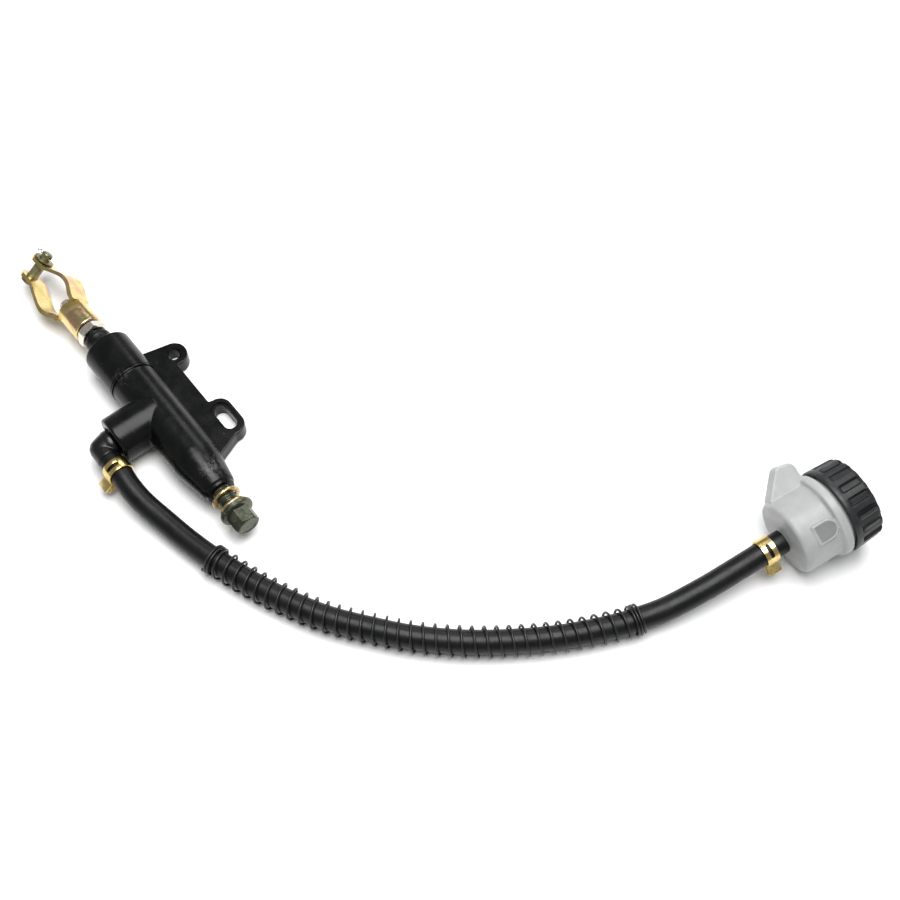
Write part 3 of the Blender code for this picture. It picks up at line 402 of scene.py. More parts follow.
def lathe(name, profile, matrix, steps):
    """A closed turned shape from (radius, height) points; a radius may be a function of the angle."""
    work = bmesh.new()
    rings = []
    for radius, height in profile:
        if not callable(radius) and radius < ON_AXIS:
            rings.append([work.verts.new((0.0, 0.0, height))])
            continue
        ring = []
        for i in range(steps):
            angle = 2 * math.pi * i / steps
            r = radius(angle) if callable(radius) else radius
            ring.append(work.verts.new((r * math.cos(angle), r * math.sin(angle), height)))
        rings.append(ring)
    pairs = list(zip(rings, rings[1:]))
    if len(rings[0]) > 1:
        pairs.append((rings[-1], rings[0]))
    for a, b in pairs:
        for i in range(steps):
            j = (i + 1) % steps
            if len(a) == 1:
                work.faces.new((a[0], b[j], b[i]))
            elif len(b) == 1:
                work.faces.new((a[i], a[j], b[0]))
            else:
                work.faces.new((a[i], a[j], b[j], b[i]))
    obj = finished(name, work)
    obj.data.transform(matrix)
    return obj


def rounded(profile, radius, parts=4):
    """The same profile, its corners rounded; points on the axis and open ends stay sharp."""
    closed = profile[0][0] > ON_AXIS
    count = len(profile)
    result = []
    for i, (x, y) in enumerate(profile):
        ends = not closed and i in (0, count - 1)
        if ends or x < ON_AXIS:
            result.append((x, y))
            continue
        here = Vector((x, y))
        before = Vector(profile[i - 1]) - here
        after = Vector(profile[(i + 1) % count]) - here
        reach = min(radius, 0.46 * before.length, 0.46 * after.length)
        start = here + before.normalized() * reach
        end = here + after.normalized() * reach
        for k in range(parts + 1):
            t = k / parts
            point = start * (1 - t) ** 2 + here * (2 * t * (1 - t)) + end * t ** 2
            result.append((point.x, point.y))
    return result


def baked(obj):
    """The object with its modifiers, or its curve, turned into plain mesh."""
    bpy.context.view_layer.update()
    graph = bpy.context.evaluated_depsgraph_get()
    mesh = bpy.data.meshes.new_from_object(obj.evaluated_get(graph))
    mesh.transform(obj.matrix_world)
    name = obj.name
    bpy.data.objects.remove(obj, do_unlink=True)
    work = bmesh.new()
    work.from_mesh(mesh)
    bmesh.ops.remove_doubles(work, verts=work.verts, dist=MERGE_DISTANCE)
    work.to_mesh(mesh)
    work.free()
    mesh.materials.clear()
    mesh.name = name
    return add_object(name, mesh)


def slab(name, outline, low, high, matrix):
    """A flat outline in XY, solid from height low to high."""
    curve = bpy.data.curves.new(name, "CURVE")
    curve.dimensions = "2D"
    curve.fill_mode = "BOTH"
    curve.extrude = (high - low) / 2
    spline = curve.splines.new("POLY")
    spline.points.add(len(outline) - 1)
    for point, (x, y) in zip(spline.points, outline):
        point.co = (x, y, 0.0, 1.0)
    spline.use_cyclic_u = True
    obj = baked(add_object(name, curve))
    obj.data.transform(matrix @ Matrix.Translation((0.0, 0.0, (low + high) / 2)))
    work = bmesh.new()
    work.from_mesh(obj.data)
    bmesh.ops.recalc_face_normals(work, faces=work.faces)
    work.to_mesh(obj.data)
    work.free()
    return obj


def wire(name, points, radius, resolution, as_curve=False):
    """A round wire through the points, with filled ends."""
    curve = bpy.data.curves.new(name, "CURVE")
    curve.dimensions = "3D"
    curve.bevel_depth = radius
    curve.bevel_resolution = resolution
    curve.use_fill_caps = True
    spline = curve.splines.new("POLY")
    spline.points.add(len(points) - 1)
    for knot, point in zip(spline.points, points):
        knot.co = (*point, 1.0)
    spline.use_smooth = True
    obj = add_object(name, curve)
    return obj if as_curve else baked(obj)


def boolean(base, other, operation):
    """Join, cut or intersect base with another object, which is used up."""
    change = base.modifiers.new("change", "BOOLEAN")
    change.operation = operation
    change.solver = "EXACT"
    change.object = other
    result = baked(base)
    bpy.data.objects.remove(other, do_unlink=True)
    return result


def bored(obj, name, profile, matrix, steps):
    """The object cut by a turned shape."""
    return boolean(obj, lathe(name, profile, matrix, steps), "DIFFERENCE")


def bevelled(obj, width, segments):
    """The object with its sharp edges rounded."""
    bevel = obj.modifiers.new("edges", "BEVEL")
    bevel.width = width
    bevel.segments = segments
    bevel.limit_method = "ANGLE"
    bevel.angle_limit = math.radians(50.0)
    return baked(obj)


def cast(obj, voxel, passes):
    """The object remeshed finely and smoothed, so edges and corners are filleted as on a casting."""
    remesh = obj.modifiers.new("skin", "REMESH")
    remesh.mode = "VOXEL"
    remesh.voxel_size = voxel
    smooth = obj.modifiers.new("fillet", "SMOOTH")
    smooth.factor = 0.5
    smooth.iterations = passes
    return baked(obj)


def arc(cx, cy, radius, start, end, count):
    """Points along a circle, from one angle to another in degrees."""
    points = []
    for i in range(count + 1):
        angle = math.radians(start + (end - start) * i / count)
        points.append((cx + radius * math.cos(angle), cy + radius * math.sin(angle)))
    return points


def spline_points(points, per_span):
    """A smooth curve (Catmull-Rom) through the points."""
    knots = [Vector(p) for p in points]
    knots = [2 * knots[0] - knots[1], *knots, 2 * knots[-1] - knots[-2]]
    result = []
    for i in range(1, len(knots) - 2):
        a, b, c, d = knots[i - 1:i + 3]
        for j in range(per_span):
            t = j / per_span
            result.append(0.5 * (2 * b + (c - a) * t + (2 * a - 5 * b + 4 * c - d) * t * t
                                 + (3 * b - a - 3 * c + d) * t ** 3))
    result.append(knots[-2])
    return result


def resample(points, count):
    """The same path as count points an equal distance apart, and its length."""
    lengths = [0.0]
    for a, b in zip(points, points[1:]):
        lengths.append(lengths[-1] + (b - a).length)
    result = []
    span = 0
    for i in range(count):
        target = lengths[-1] * i / (count - 1)
        while span < len(points) - 2 and lengths[span + 1] < target:
            span += 1
        share = (target - lengths[span]) / (lengths[span + 1] - lengths[span])
        result.append(points[span].lerp(points[span + 1], share))
    return result, lengths[-1]


def hexagon(across, turn):
    """A hexagon's corners, from its width across flats and a turn in degrees."""
    return arc(0.0, 0.0, across / math.sqrt(3), turn, turn + 300.0, 5)


def thread(outer, depth, pitch, low, high, per_pitch=6):
    """Profile rings of a screw thread, from high down to low."""
    rings = []
    count = int((high - low) / pitch * per_pitch)

    def ring(height):
        def radius(angle):
            phase = (height / pitch - angle / (2 * math.pi)) % 1.0
            fade = min(1.0, (high - height) / pitch, (height - low) / pitch)
            return outer - depth * max(0.0, fade) * abs(2 * phase - 1.0)
        return radius

    for i in range(count + 1):
        height = high - (high - low) * i / count
        rings.append((ring(height), height))
    return rings


def place(obj, body, node, paint, angle=40.0):
    """Give a piece its finish, and make it ride on its body in place of a CAD node."""
    if obj.type == "MESH":
        obj.data.materials.clear()
        obj.data.materials.append(MATERIALS[paint])
        obj.data.shade_smooth()
        obj.data.set_sharp_from_angle(angle=math.radians(angle))
    else:
        obj.data.materials.append(MATERIALS[paint])
    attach(obj, body)
    if node:
        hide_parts(node)
    return obj


# ---------------------------------------------------------------- pieces

def flange_outline():
    """The mounting web seen from above, with its two ears."""
    foot_y = -0.0080
    points = [(MOUTH_X + 0.006, foot_y), (MOUTH_X + 0.096, foot_y), (MOUTH_X + 0.0895, 0.0110)]
    points += arc(SLOT_X + 0.0055, EAR_Y, 0.0070, -12.0, 90.0, 14)
    points += arc(SLOT_X - 0.0055, EAR_Y, 0.0070, 90.0, 165.0, 10)
    points.append((SLOT_X - 0.0129, 0.0253))
    points += arc(HOLE_X, EAR_Y, 0.0074, -15.0, 165.0, 24)
    points.append((MOUTH_X + 0.0100, 0.0120))
    return points


def slot_outline(radius):
    loop = arc(SLOT_X + 0.0045, EAR_Y, radius, -90.0, 90.0, 16)
    return loop + arc(SLOT_X - 0.0045, EAR_Y, radius, 90.0, 270.0, 16)


def make_body():
    """The casting, filleted all over, then bored and drilled."""
    end = BODY_LENGTH
    barrel = [(0.0, end), (0.0079, end), (0.0079, end - 0.0016), (0.0089, end - 0.0020),
              (0.0094, end - 0.0040), (0.0121, 0.0900), (0.0125, 0.0865), (0.0125, 0.0278),
              (0.0131, 0.0268), (0.0131, 0.0009), (0.0122, 0.0), (0.0, 0.0)]
    body = lathe("cylinder_body_skin", barrel, BORE, 128)
    boss = [(0.0, 0.0270), (0.0120, 0.0270), (0.0129, 0.0261), (0.0129, 0.0), (0.0, 0.0)]
    body = boolean(body, lathe("boss", boss, BOSS, 96), "UNION")
    flange = slab("flange", flange_outline(), 0.0, EAR_T, Matrix())
    body = boolean(body, flange, "UNION")
    ridge_turn = BORE @ Matrix.Rotation(math.radians(118.0), 4, "Z")
    ridge_end = [(0.0110, -0.0006), (0.0130, -0.0003), (0.0130, 0.0003), (0.0110, 0.0006)]
    body = boolean(body, slab("ridge", ridge_end, 0.0290, 0.0900, ridge_turn), "UNION")
    body = cast(body, voxel=0.00040, passes=7)

    for low, high, floor in ((0.0256, 0.0260, 0.0128), (0.0270, 0.0277, 0.0122)):
        groove = [(0.0136, high), (0.0136, low), (floor, low), (floor, high)]
        body = bored(body, "groove", groove, BORE, 128)
    below = -0.003
    above = 0.012
    recess = slab("recess", slot_outline(0.0052), EAR_T - 0.0009, EAR_T + 0.003, Matrix())
    body = boolean(body, recess, "DIFFERENCE")
    slot = slab("slot", slot_outline(0.0036), below, above, Matrix())
    body = boolean(body, slot, "DIFFERENCE")
    drill = [(0.0, above), (0.0046, above), (0.0046, 0.0088), (0.0033, 0.0077), (0.0033, below), (0.0, below)]
    body = bored(body, "hole", drill, Matrix.Translation((HOLE_X, EAR_Y, 0.0)), 48)
    bore = [(0.0, end + 0.001), (0.0062, end + 0.001), (0.0053, end - 0.0002), (0.0053, 0.0930),
            (0.0015, 0.0920), (0.0015, 0.0892), (0.0055, 0.0882), (0.0065, 0.0872), (0.0065, 0.0100),
            (0.0080, 0.0100), (0.0080, 0.0088), (0.0088, 0.0088), (0.0088, 0.0073), (0.0080, 0.0073),
            (0.0080, 0.0006), (0.0088, -0.001), (0.0, -0.001)]
    body = bored(body, "bore", bore, BORE, 72)
    socket = [(0.0, 0.0280), (0.0094, 0.0280), (0.0085, 0.0266), (0.0085, 0.0262), (0.0093, 0.0262),
              (0.0093, 0.0249), (0.0085, 0.0249), (0.0085, 0.0150), (0.0016, 0.0145), (0.0016, 0.0030),
              (0.0, 0.0030)]
    body = bored(body, "socket", socket, BOSS, 64)
    place(body, "root", "cylinder_body", "black_casting", 32.0)


def make_boot():
    """The bellows, which lean with the rod towards their small end."""
    profile = [(0.0077, 0.0060), (0.0077, 0.0004), (0.0079, -0.0006), (0.0079, -0.0014),
               (0.0072, -0.0024), (0.0067, -0.0042), (0.0069, -0.0062), (0.0073, -0.0074),
               (0.0072, -0.0088), (0.0064, -0.0100), (0.0058, BOOT_END), (0.0043, BOOT_END),
               (0.0043, -0.0086), (0.0056, -0.0076), (0.0057, -0.0040), (0.0061, -0.0010),
               (0.0064, 0.0060)]
    boot = lathe("dust_boot_skin", rounded(profile, 0.0006, 3), Matrix(), 80)
    for vertex in boot.data.vertices:
        along = vertex.co.z
        if along < 0.0:
            vertex.co.y += (along - BALL_X) * math.tan(ROD_YAW) * min(1.0, along / BOOT_END)
    boot.data.transform(BORE)
    place(boot, "root", "dust_boot", "black_rubber")
    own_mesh(boot)


def make_return_spring():
    radius = 0.0006
    coil_r = 0.0041
    clearance = 0.0003
    turns = 8
    per_turn = 20
    start = MOUTH_X + 0.0483 + clearance + radius
    end = MOUTH_X + 0.0868 - clearance - radius
    points = []
    for i in range(turns * per_turn + 1):
        angle = 2 * math.pi * i / per_turn
        along = start + (end - start) * i / (turns * per_turn)
        points.append((along, coil_r * math.cos(angle), BORE_Z + coil_r * math.sin(angle)))
    spring = wire("return_spring_skin", points, radius, 2)
    place(spring, "root", "return_spring", "bright_steel")
    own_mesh(spring)


def make_rod():
    """The pushrod, its lock nut and the clevis, on the rod's axis."""
    along_x = ROD @ TURN_X
    profile = rounded([(0.0, 0.0172), (0.0016, 0.0169), (0.0030, 0.0150), (0.0034, 0.0135),
                       (0.0034, 0.0118), (0.0060, 0.0118), (0.0060, 0.0102), (0.0040, 0.0100),
                       (0.0040, -0.0105)], 0.0003)
    profile += thread(0.0040, 0.00045, 0.00125, -0.0382, -0.0110)
    profile += [(0.0039, -0.0386), (0.0036, -0.0398), (0.0026, -0.0406), (0.0, -0.0408)]
    place(lathe("pushrod_skin", profile, along_x, 72), "rod_unit", "pushrod", "bright_steel")

    boot_gap = 0.0004
    top = BOOT_END - boot_gap
    foot = top - 0.0050
    nut = slab("lock_nut_skin", hexagon(0.0145, 12.0), foot, top, along_x)
    cone = [(0.0, top + 0.0005), (0.0064, top + 0.0005), (0.0070, top), (0.00845, top - 0.0009),
            (0.00845, foot + 0.0009), (0.0070, foot), (0.0064, foot - 0.0005), (0.0, foot - 0.0005)]
    nut = boolean(nut, lathe("chamfer", cone, along_x, 96), "INTERSECT")
    hole = [(0.0, top + 0.001), (0.0053, top + 0.001), (0.0043, top - 0.0008), (0.0043, foot + 0.0008),
            (0.0053, foot - 0.001), (0.0, foot - 0.001)]
    nut = bored(nut, "nut_bore", hole, along_x, 48)
    place(nut, "rod_unit", "lock_nut", "bright_steel", 25.0)
    make_clevis(along_x)


def fork_outline():
    """The fork seen square to its pin: both arms, bent out from the socket and in to the ears."""
    strip = 0.0023
    inner_y = EAR_HALF - strip
    outer = spline_points(((-0.0325, 0.0078), (-0.0362, 0.0088), (-0.0405, 0.0112), (-0.0450, 0.0124),
                           (-0.0495, 0.0121), (-0.0560, 0.0097), (-0.0615, 0.0073), (-0.0645, EAR_HALF),
                           (-0.0700, EAR_HALF), (-0.0760, EAR_HALF)), 8)
    inner = spline_points(((-0.0760, inner_y), (-0.0700, inner_y), (-0.0650, inner_y), (-0.0622, 0.0050),
                           (-0.0566, 0.0074), (-0.0500, 0.0098), (-0.0455, 0.0101), (-0.0418, 0.0090),
                           (-0.0382, 0.0068), (-0.0349, 0.0058)), 8)
    half = [(point.x, point.y) for point in outer + inner]
    return half + [(x, -y) for x, y in reversed(half)]


def make_clevis(along_x):
    """A round socket with a fork of bent strip, its crotch open over the rod's end."""
    socket = rounded([(0.0, -0.0168), (0.0077, -0.0168), (0.0082, -0.0173), (0.0082, -0.0345),
                      (0.0, -0.0345)], 0.0004)
    clevis = lathe("clevis_skin", socket, along_x, 96)
    fork = slab("fork", fork_outline(), -0.0062, 0.0062, ROD)
    side = [(-0.0330, 0.0068), (-0.0420, 0.0060), (-0.0560, 0.0060),
            *arc(PIN_X, 0.0, 0.0060, 105.0, 255.0, 24),
            (-0.0560, -0.0060), (-0.0420, -0.0060), (-0.0330, -0.0068)]
    flank = slab("flank", side, -0.020, 0.020, ROD @ Matrix.Rotation(math.pi / 2, 4, "X"))
    fork = boolean(fork, flank, "INTERSECT")
    fork = bevelled(fork, width=0.00032, segments=3)
    clevis = boolean(clevis, fork, "UNION")
    hole = [(0.0, -0.010), (0.0050, -0.010), (0.0043, -0.0178), (0.0043, -0.0420), (0.0, -0.0420)]
    clevis = bored(clevis, "clevis_bore", hole, along_x, 64)
    mouth = [(0.0, -0.0349), (0.0046, -0.0349), (0.0058, -0.0358), (0.0058, -0.0500), (0.0, -0.0500)]
    clevis = bored(clevis, "crotch", mouth, along_x, 64)
    across = ROD @ Matrix.Translation((PIN_X, 0.0, 0.0)) @ TURN_Y
    drill = [(0.0, 0.02), (0.0033, 0.02), (0.0033, -0.02), (0.0, -0.02)]
    clevis = bored(clevis, "clevis_drill", drill, across, 48)
    place(clevis, "rod_unit", "clevis", "yellow_zinc", 32.0)


def make_pin():
    """The clevis pin with its washer and cotter pin."""
    across = ROD @ Matrix.Translation((PIN_X, 0.0, 0.0)) @ TURN_Y
    pin_r = 0.0030
    cotter_y = 0.0096
    face = EAR_HALF + 0.0003
    profile = rounded([(0.0, 0.0118), (0.0024, 0.0118), (pin_r, 0.0111), (pin_r, -face), (0.0046, -face),
                       (0.0046, -face - 0.0014), (0.0041, -face - 0.0018), (0.0, -face - 0.0018)], 0.0003)
    pin = lathe("clevis_pin_skin", profile, across, 64)
    cross = ROD @ Matrix.Translation((PIN_X, cotter_y, 0.0)) @ TURN_X
    drill = [(0.0, 0.006), (0.0012, 0.006), (0.0012, -0.006), (0.0, -0.006)]
    pin = bored(pin, "cotter_hole", drill, cross, 24)
    place(pin, "pin_unit", "clevis_pin", "olive_zinc")
    back = face + 0.0009
    ring = rounded([(0.0056, back), (0.0056, face), (0.0033, face), (0.0033, back)], 0.00025)
    place(lathe("pin_washer_skin", ring, across, 72), "pin_unit", "pin_washer", "olive_zinc")

    half = 0.00055
    eye_x = PIN_X - pin_r - 0.0022
    leg_x = PIN_X + pin_r
    upper = [(leg_x + 0.0040, half + 0.0022), (leg_x + 0.0012, half + 0.0006), (leg_x, half),
             (PIN_X - pin_r, half)]
    lower = [(x, -z) for x, z in reversed(upper)]
    knots = upper + arc(eye_x, 0.0, 0.0019, 40.0, 320.0, 12) + lower
    points = [ROD @ p for p in spline_points([(x, cotter_y, z) for x, z in knots], 4)]
    place(wire("cotter_pin_skin", points, 0.00045, 3), "pin_unit", "cotter_pin", "bright_steel")


def make_banjo():
    """The banjo bolt and its crush washers."""
    under = 0.0128
    top = under + 0.0024
    end = 0.0246
    profile = [(0.0, top + 0.0008), (0.0052, top + 0.0008), (0.0072, top + 0.0004), (0.0086, top - 0.0002),
               (0.0090, top - 0.0008), (0.0090, under + 0.0002), (0.0088, under), (0.0050, under),
               (0.0049, under - 0.0010)]
    profile += thread(0.0050, 0.0006, 0.00125, -0.0100, under - 0.0012)
    profile += [(0.0043, -0.0107), (0.0, -0.0107)]
    bolt = lathe("banjo_bolt_skin", profile, NOSE, 72)
    head = slab("bolt_hex", hexagon(0.0120, 20.0), top - 0.0004, end, NOSE)
    cone = [(0.0, end - 0.0003), (0.0042, end - 0.0003), (0.0047, end), (0.0057, end - 0.0001),
            (0.00665, end - 0.0009), (0.0072, end - 0.0022), (0.0072, top - 0.0010), (0.0, top - 0.0010)]
    head = boolean(head, lathe("hex_chamfer", cone, NOSE, 96), "INTERSECT")
    place(boolean(bolt, head, "UNION"), "bolt", "banjo_bolt", "olive_zinc", 28.0)
    for node, body, start in (("crush_washer_inner", "root", 0.0034),
                              ("crush_washer_outer", "outer_washer", 0.0106)):
        end = start + 0.0016
        ring = rounded([(0.0078, end), (0.0078, start), (0.0053, start), (0.0053, end)], 0.0005)
        place(lathe(node + "_skin", ring, NOSE, 80), body, node, "copper")


def make_elbow():
    """The plastic inlet elbow, rounded at its corner."""
    reach = -ELBOW_Y
    plug = [(0.0, reach + 0.0063), (0.0032, reach + 0.0055), (0.0055, reach + 0.0032), (0.0065, reach),
            (0.0072, reach - 0.0030), (0.0077, 0.0300), (0.0077, 0.0280), (0.0070, 0.0272),
            (0.0058, 0.0272), (0.0058, 0.0246), (0.0082, 0.0246), (0.0082, 0.0156), (0.0, 0.0156)]
    elbow = lathe("inlet_elbow_skin", rounded(plug, 0.0008, 3), BOSS, 80)
    start = HOSE_ROUTE[0][0]
    spout_turn = Matrix.Translation((0.0, ELBOW_Y, BORE_Z)) @ TURN_X
    spout = [(0.0, start + 0.0125), (0.0028, start + 0.0125), (0.0035, start + 0.0105),
             (0.0031, start + 0.0035), (0.0031, start - 0.0003), (0.0062, start - 0.0003),
             (0.0062, BOSS_X), (0.0, BOSS_X)]
    elbow = boolean(elbow, lathe("spout", rounded(spout, 0.0004, 3), spout_turn, 64), "UNION")
    elbow = cast(elbow, voxel=0.00030, passes=4)
    place(elbow, "root", "inlet_elbow", "black_plastic", 50.0)


def guard_turn(share, length):
    """Turns made at a share of the guard's length; the ends are close wound."""
    close = GUARD_CLOSE_TURNS
    close_share = close * (2 * GUARD_WIRE_R + GUARD_CLOSE_GAP) / length
    if share < close_share:
        return close * share / close_share
    if share > 1.0 - close_share:
        return GUARD_TURNS - close * (1.0 - share) / close_share
    return close + (GUARD_TURNS - 2 * close) * (share - close_share) / (1.0 - 2 * close_share)


def guard_points(path, hose_length):
    """The guard's wire, wound round a finely sampled path of the hose."""
    guard_length = (GUARD_END - GUARD_START) * hose_length
    per_turn = 26
    steps = 6000
    turns = [guard_turn(i / steps, guard_length) for i in range(steps + 1)]
    points = []
    step = 0
    for i in range(GUARD_TURNS * per_turn + 1):
        target = i / per_turn
        while step < steps - 1 and turns[step + 1] < target:
            step += 1
        share = (step + (target - turns[step]) / (turns[step + 1] - turns[step])) / steps
        along = (GUARD_START + (GUARD_END - GUARD_START) * share) * (len(path) - 1)
        base = min(int(along), len(path) - 2)
        centre = path[base].lerp(path[base + 1], along - base)
        forward = (path[base + 1] - path[base]).normalized()
        side = forward.cross(Vector((0.0, 0.0, 1.0))).normalized()
        up = side.cross(forward)
        angle = 2 * math.pi * target
        points.append(centre + side * (GUARD_R * math.cos(angle)) - up * (GUARD_R * math.sin(angle)))
    return points


def make_hose():
    """The hose, its wire guard and its two clamps."""
    route = spline_points(HOSE_ROUTE, 16)
    hose_points, length = resample(route, count=260)
    fine_points = resample(route, count=1200)[0]
    hose = wire("hose_skin", hose_points, HOSE_R, 10, as_curve=True)
    place(hose, "root", "hose", "black_rubber")
    guard = wire("spring_guard_skin", guard_points(fine_points, length), GUARD_WIRE_R, 3)
    place(guard, "root", "spring_guard", "black_wire", 60.0)

    at_elbow = Matrix.Translation((0.0214, ELBOW_Y, BORE_Z)) @ TURN_X
    at_tank = TANK @ Matrix.Translation((0.0, -0.0112, 0.0)) @ TURN_Y
    clamps = [
        make_clamp("hose_clamp_elbow", at_elbow, tab_angle=-54.0, slot_angle=200.0),
        make_clamp("hose_clamp_reservoir", at_tank, tab_angle=48.0, slot_angle=-65.0),
    ]


def make_clamp(node, matrix, tab_angle, slot_angle):
    """A sprung band with a long slot and two pinched tabs."""
    inner = HOSE_R + 0.0002
    outer = inner + 0.0008
    tip = outer + 0.0056
    half_width = 0.0034
    slot_half = 0.0010
    slot_reach = 24.0                   # degrees to each side
    out = math.radians(tab_angle)
    across = Vector((-math.sin(out), math.cos(out)))
    radial = Vector((math.cos(out), math.sin(out)))

    def tab(spreads):
        points = []
        for distance, spread in spreads:
            point = radial * distance + across * spread
            points.append((point.x, point.y))
        return points

    loop = arc(0.0, 0.0, outer, tab_angle + 17.0, tab_angle + 343.0, 90)
    loop += tab(((outer + 0.0012, -0.0019), (tip, -0.0017), (tip, -0.0009), (outer, -0.0010)))
    loop += arc(0.0, 0.0, inner, tab_angle + 350.0, tab_angle + 10.0, 90)
    loop += tab(((outer, 0.0010), (tip, 0.0009), (tip, 0.0017), (outer + 0.0012, 0.0019)))
    band = slab(node + "_skin", loop, -half_width, half_width, matrix)
    wedge = [(0.0, 0.0), *arc(0.0, 0.0, 0.0100, slot_angle - slot_reach, slot_angle + slot_reach, 30)]
    band = boolean(band, slab("slot_cut", wedge, -slot_half, slot_half, matrix), "DIFFERENCE")
    slot_end = [(0.0, 0.0100), (slot_half, 0.0100), (slot_half, 0.0030), (0.0, 0.0030)]
    for edge in (-1, 1):
        turned = Matrix.Rotation(math.radians(slot_angle + slot_reach * edge), 4, "Z") @ TURN_X
        band = bored(band, "slot_end", slot_end, matrix @ turned, 24)
    band = bevelled(band, width=0.00012, segments=2)
    return place(band, "root", node, "yellow_zinc", 30.0)


def window_arch(half_width, sill):
    """The sight window's outline: straight sides under a half circle."""
    arch_foot = 0.0145
    return [(half_width, sill), (half_width, arch_foot),
            *arc(0.0, arch_foot, half_width, 0.0, 180.0, 24), (-half_width, sill)]


def make_reservoir():
    """The milky cup with its lug, its flange ring, its nipple and its sight window."""
    along = TANK @ TURN_Y
    cup = [(0.0, 0.0377), (0.0194, 0.0377), (0.0194, 0.0248), (0.0217, 0.0248), (0.0217, 0.0204),
           (0.0196, 0.0196), (0.0194, 0.0180), (0.0194, 0.0022), (0.0189, 0.0006), (0.0178, 0.0),
           (0.0062, 0.0), (0.0036, -0.0014), (0.0034, -0.0050), (0.0036, -0.0056), (0.0033, -0.0095),
           (0.0036, -0.0100), (0.0033, -0.0140), (0.0030, -0.0162), (0.0, -0.0162)]
    body = lathe("reservoir_skin", rounded(cup, 0.0009, 4), along, 128)
    tilt = TANK @ Matrix.Rotation(math.radians(25.0), 4, "Y")
    lug_loop = [(-0.0175, 0.0010), (-0.0205, 0.0024), *arc(-0.0270, 0.0145, 0.0052, 205.0, 150.0, 8),
                *arc(-0.0270, 0.0168, 0.0052, 145.0, 70.0, 10), (-0.0210, 0.0228), (-0.0175, 0.0225)]
    body = boolean(body, slab("lug", lug_loop, -0.0045, 0.0045, tilt), "UNION")
    face = 0.0190
    window = math.radians(55.0)
    to_window = (TANK @ Matrix.Translation((face * math.cos(window), 0.0, face * math.sin(window)))
                 @ Matrix.Rotation(math.pi / 2 - window, 4, "Y"))
    frame_loop = window_arch(0.0052, 0.0075)
    pane_loop = window_arch(0.0041, 0.0087)
    body = boolean(body, slab("window_pad", frame_loop, -0.0030, 0.0012, to_window), "UNION")
    body = cast(body, voxel=0.00045, passes=5)
    body = boolean(body, slab("window_recess", pane_loop, 0.0008, 0.0040, to_window), "DIFFERENCE")
    room = [(0.0, 0.0390), (0.0176, 0.0390), (0.0176, 0.0048), (0.0168, 0.0026), (0.0146, 0.0018),
            (0.0020, 0.0018), (0.0020, -0.0180), (0.0, -0.0180)]
    body = bored(body, "room", rounded(room, 0.0006, 3), along, 96)
    hole = [(0.0, 0.0016), (0.0030, 0.0016), (0.0030, -0.0070), (0.0, -0.0070)]
    hole_turn = tilt @ Matrix.Translation((-0.0268, 0.0136, 0.0))
    body = bored(body, "lug_hole", hole, hole_turn, 40)
    place(body, "root", "reservoir", "milky_plastic", 40.0)

    glass = milky_plastic("window_plastic", low=(0.33, 0.345, 0.35), high=(0.43, 0.44, 0.445), through=0.5)
    pane = slab("sight_window_pane", pane_loop, 0.0006, 0.0011, to_window)
    pane.data.materials.append(glass)
    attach(pane, "root")


def make_cap():
    """The ribbed cap: broad ribs above a plain rim band, tapering to a rounded end."""
    start = 0.0260
    height = 0.0164
    foot_r = 0.0223
    taper = 0.045
    end_r = 0.0022                      # of the rounding at the end
    rib_start = 0.0034
    rib_fade = 0.0012
    depth = 0.00150

    def rim(z):
        """The radius over the ribs at a height."""
        left = height - z
        curve = 0.0
        if left < end_r:
            curve = end_r - math.sqrt(max(0.0, end_r ** 2 - (end_r - left) ** 2))
        foot = 0.0004 * max(0.0, 1.0 - z / 0.0006)
        return foot_r * (1.0 - taper * z / height) - curve - foot

    def fluted(z):
        outer = rim(z)
        rise = min(1.0, max(0.0, (z - rib_start) / rib_fade))
        rise *= min(1.0, max(0.0, (height - z) / rib_fade)) ** 0.5

        def radius(angle):
            phase = (angle * CAP_RIBS / (2 * math.pi)) % 1.0
            across = abs(phase - 0.5) * 2
            wave = min(1.0, max(0.0, (0.66 - across) / 0.30))
            return outer - depth * rise * wave * wave * (3 - 2 * wave)
        return radius

    inside = height - end_r
    levels = [0.0, 0.0002, 0.0006, 0.0020, 0.0033, 0.0035, 0.0038, 0.0042, 0.0046, 0.0070, 0.0100, 0.0130]
    levels += [inside + end_r * math.sin(math.radians(7.5 * k)) for k in range(0, 13)]
    profile = [(0.0, inside), (0.0194, inside), (0.0197, 0.0118), (0.0200, 0.0003), (0.0203, 0.0)]
    profile += [(fluted(z), z) for z in levels]
    profile += [(0.0170, height), (0.0160, height - 0.0005), (0.0, height - 0.0005)]
    along = TANK @ TURN_Y @ Matrix.Translation((0.0, 0.0, start))
    cap = lathe("reservoir_cap_skin", profile, along, 720)
    place(cap, "cap", "reservoir_cap", "cap_plastic", 35.0)


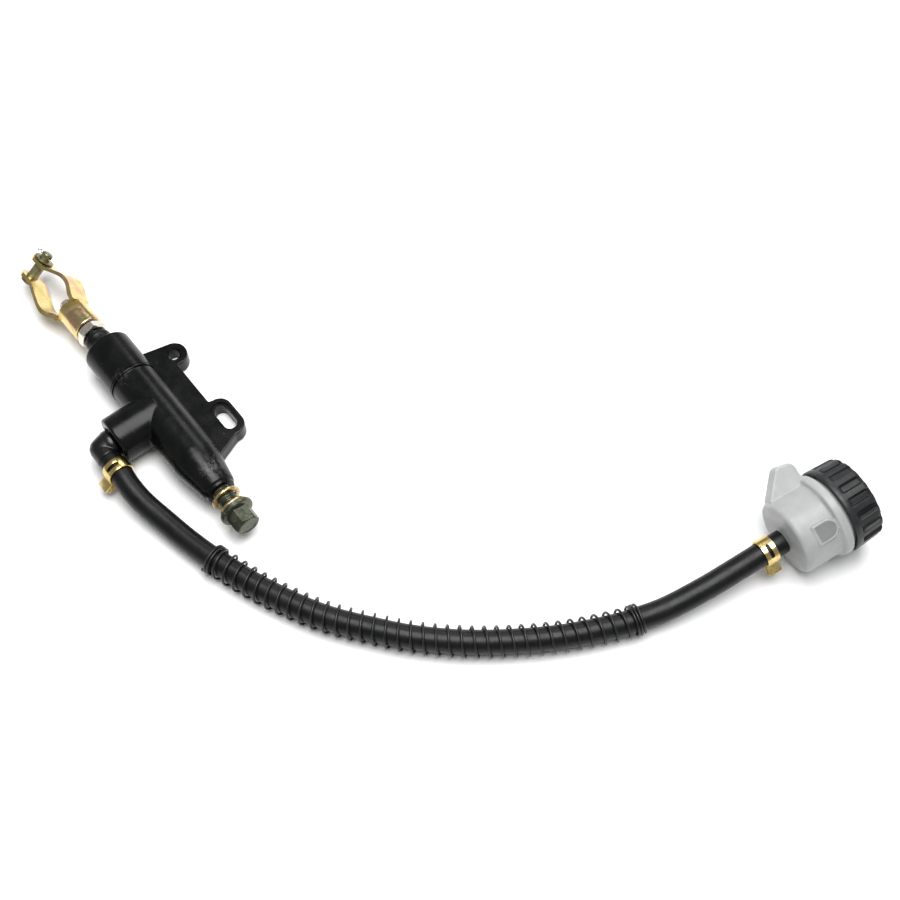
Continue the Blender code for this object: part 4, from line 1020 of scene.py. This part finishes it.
def finish_cad_nodes():
    """The hidden inner pieces keep their CAD shape and get their finish."""
    slots = {entry["node"]: entry["material_slot"] for entry in frame["record"]["subparts"]}
    for name, obj in frame["nodes"].items():
        if obj.hide_render:
            continue
        for i in range(len(obj.material_slots)):
            obj.material_slots[i].material = MATERIALS[slots[name]]
        if not obj.material_slots:
            obj.data.materials.append(MATERIALS[slots[name]])


# ---------------------------------------------------------------- stage

def make_camera():
    camera = add_object("camera", bpy.data.cameras.new("camera"))
    camera.data.lens = 53.6
    camera.data.sensor_width = 36.0
    camera.data.clip_start = 0.01
    camera.location = (0.3844, -0.1079, 0.6062)
    look = Vector((0.1102, 0.1097, 0.0)) - camera.location
    camera.rotation_euler = look.to_track_quat("-Z", "Y").to_euler()
    SCENE.camera = camera


def area_light(name, location, target, size, power):
    """A square light that faces its target."""
    light = bpy.data.lights.new(name, "AREA")
    light.shape = "RECTANGLE"
    light.size = size
    light.size_y = size
    light.energy = power
    obj = add_object(name, light)
    obj.location = location
    obj.rotation_euler = (Vector(target) - Vector(location)).to_track_quat("-Z", "Y").to_euler()


def make_stage():
    """A pale floor, a broad overhead light, and a weaker fill."""
    work = bmesh.new()
    bmesh.ops.create_grid(work, x_segments=2, y_segments=2, size=3.0)
    floor = finished("floor", work)
    floor.location = (0.11, 0.11, -0.0003)
    s = Shader("floor_paper")
    s.color(s.ramp(s.noise(3.0, 2.0), ((0.3, (0.86, 0.865, 0.87)), (0.7, (0.89, 0.89, 0.89)))))
    s.rough(s.span(s.noise(60.0), 0.6, 0.75))
    floor.data.materials.append(s.material)

    world = bpy.data.worlds.new("studio")
    world.use_nodes = True
    background = world.node_tree.nodes["Background"]
    background.inputs["Color"].default_value = (1.0, 1.0, 1.0, 1.0)
    background.inputs["Strength"].default_value = 0.30
    SCENE.world = world
    middle = (0.11, 0.08, 0.0)
    area_light("overhead", location=(0.16, 0.14, 1.15), target=middle, size=0.90, power=22.0)
    area_light("fill", location=(-0.45, 0.80, 0.70), target=middle, size=0.40, power=2.0)
    SCENE.view_settings.view_transform = "Standard"


make_camera()
make_hose()
make_body()
make_boot()
make_return_spring()
make_rod()
make_pin()
make_banjo()
make_elbow()
make_reservoir()
make_cap()
finish_cad_nodes()
make_stage()
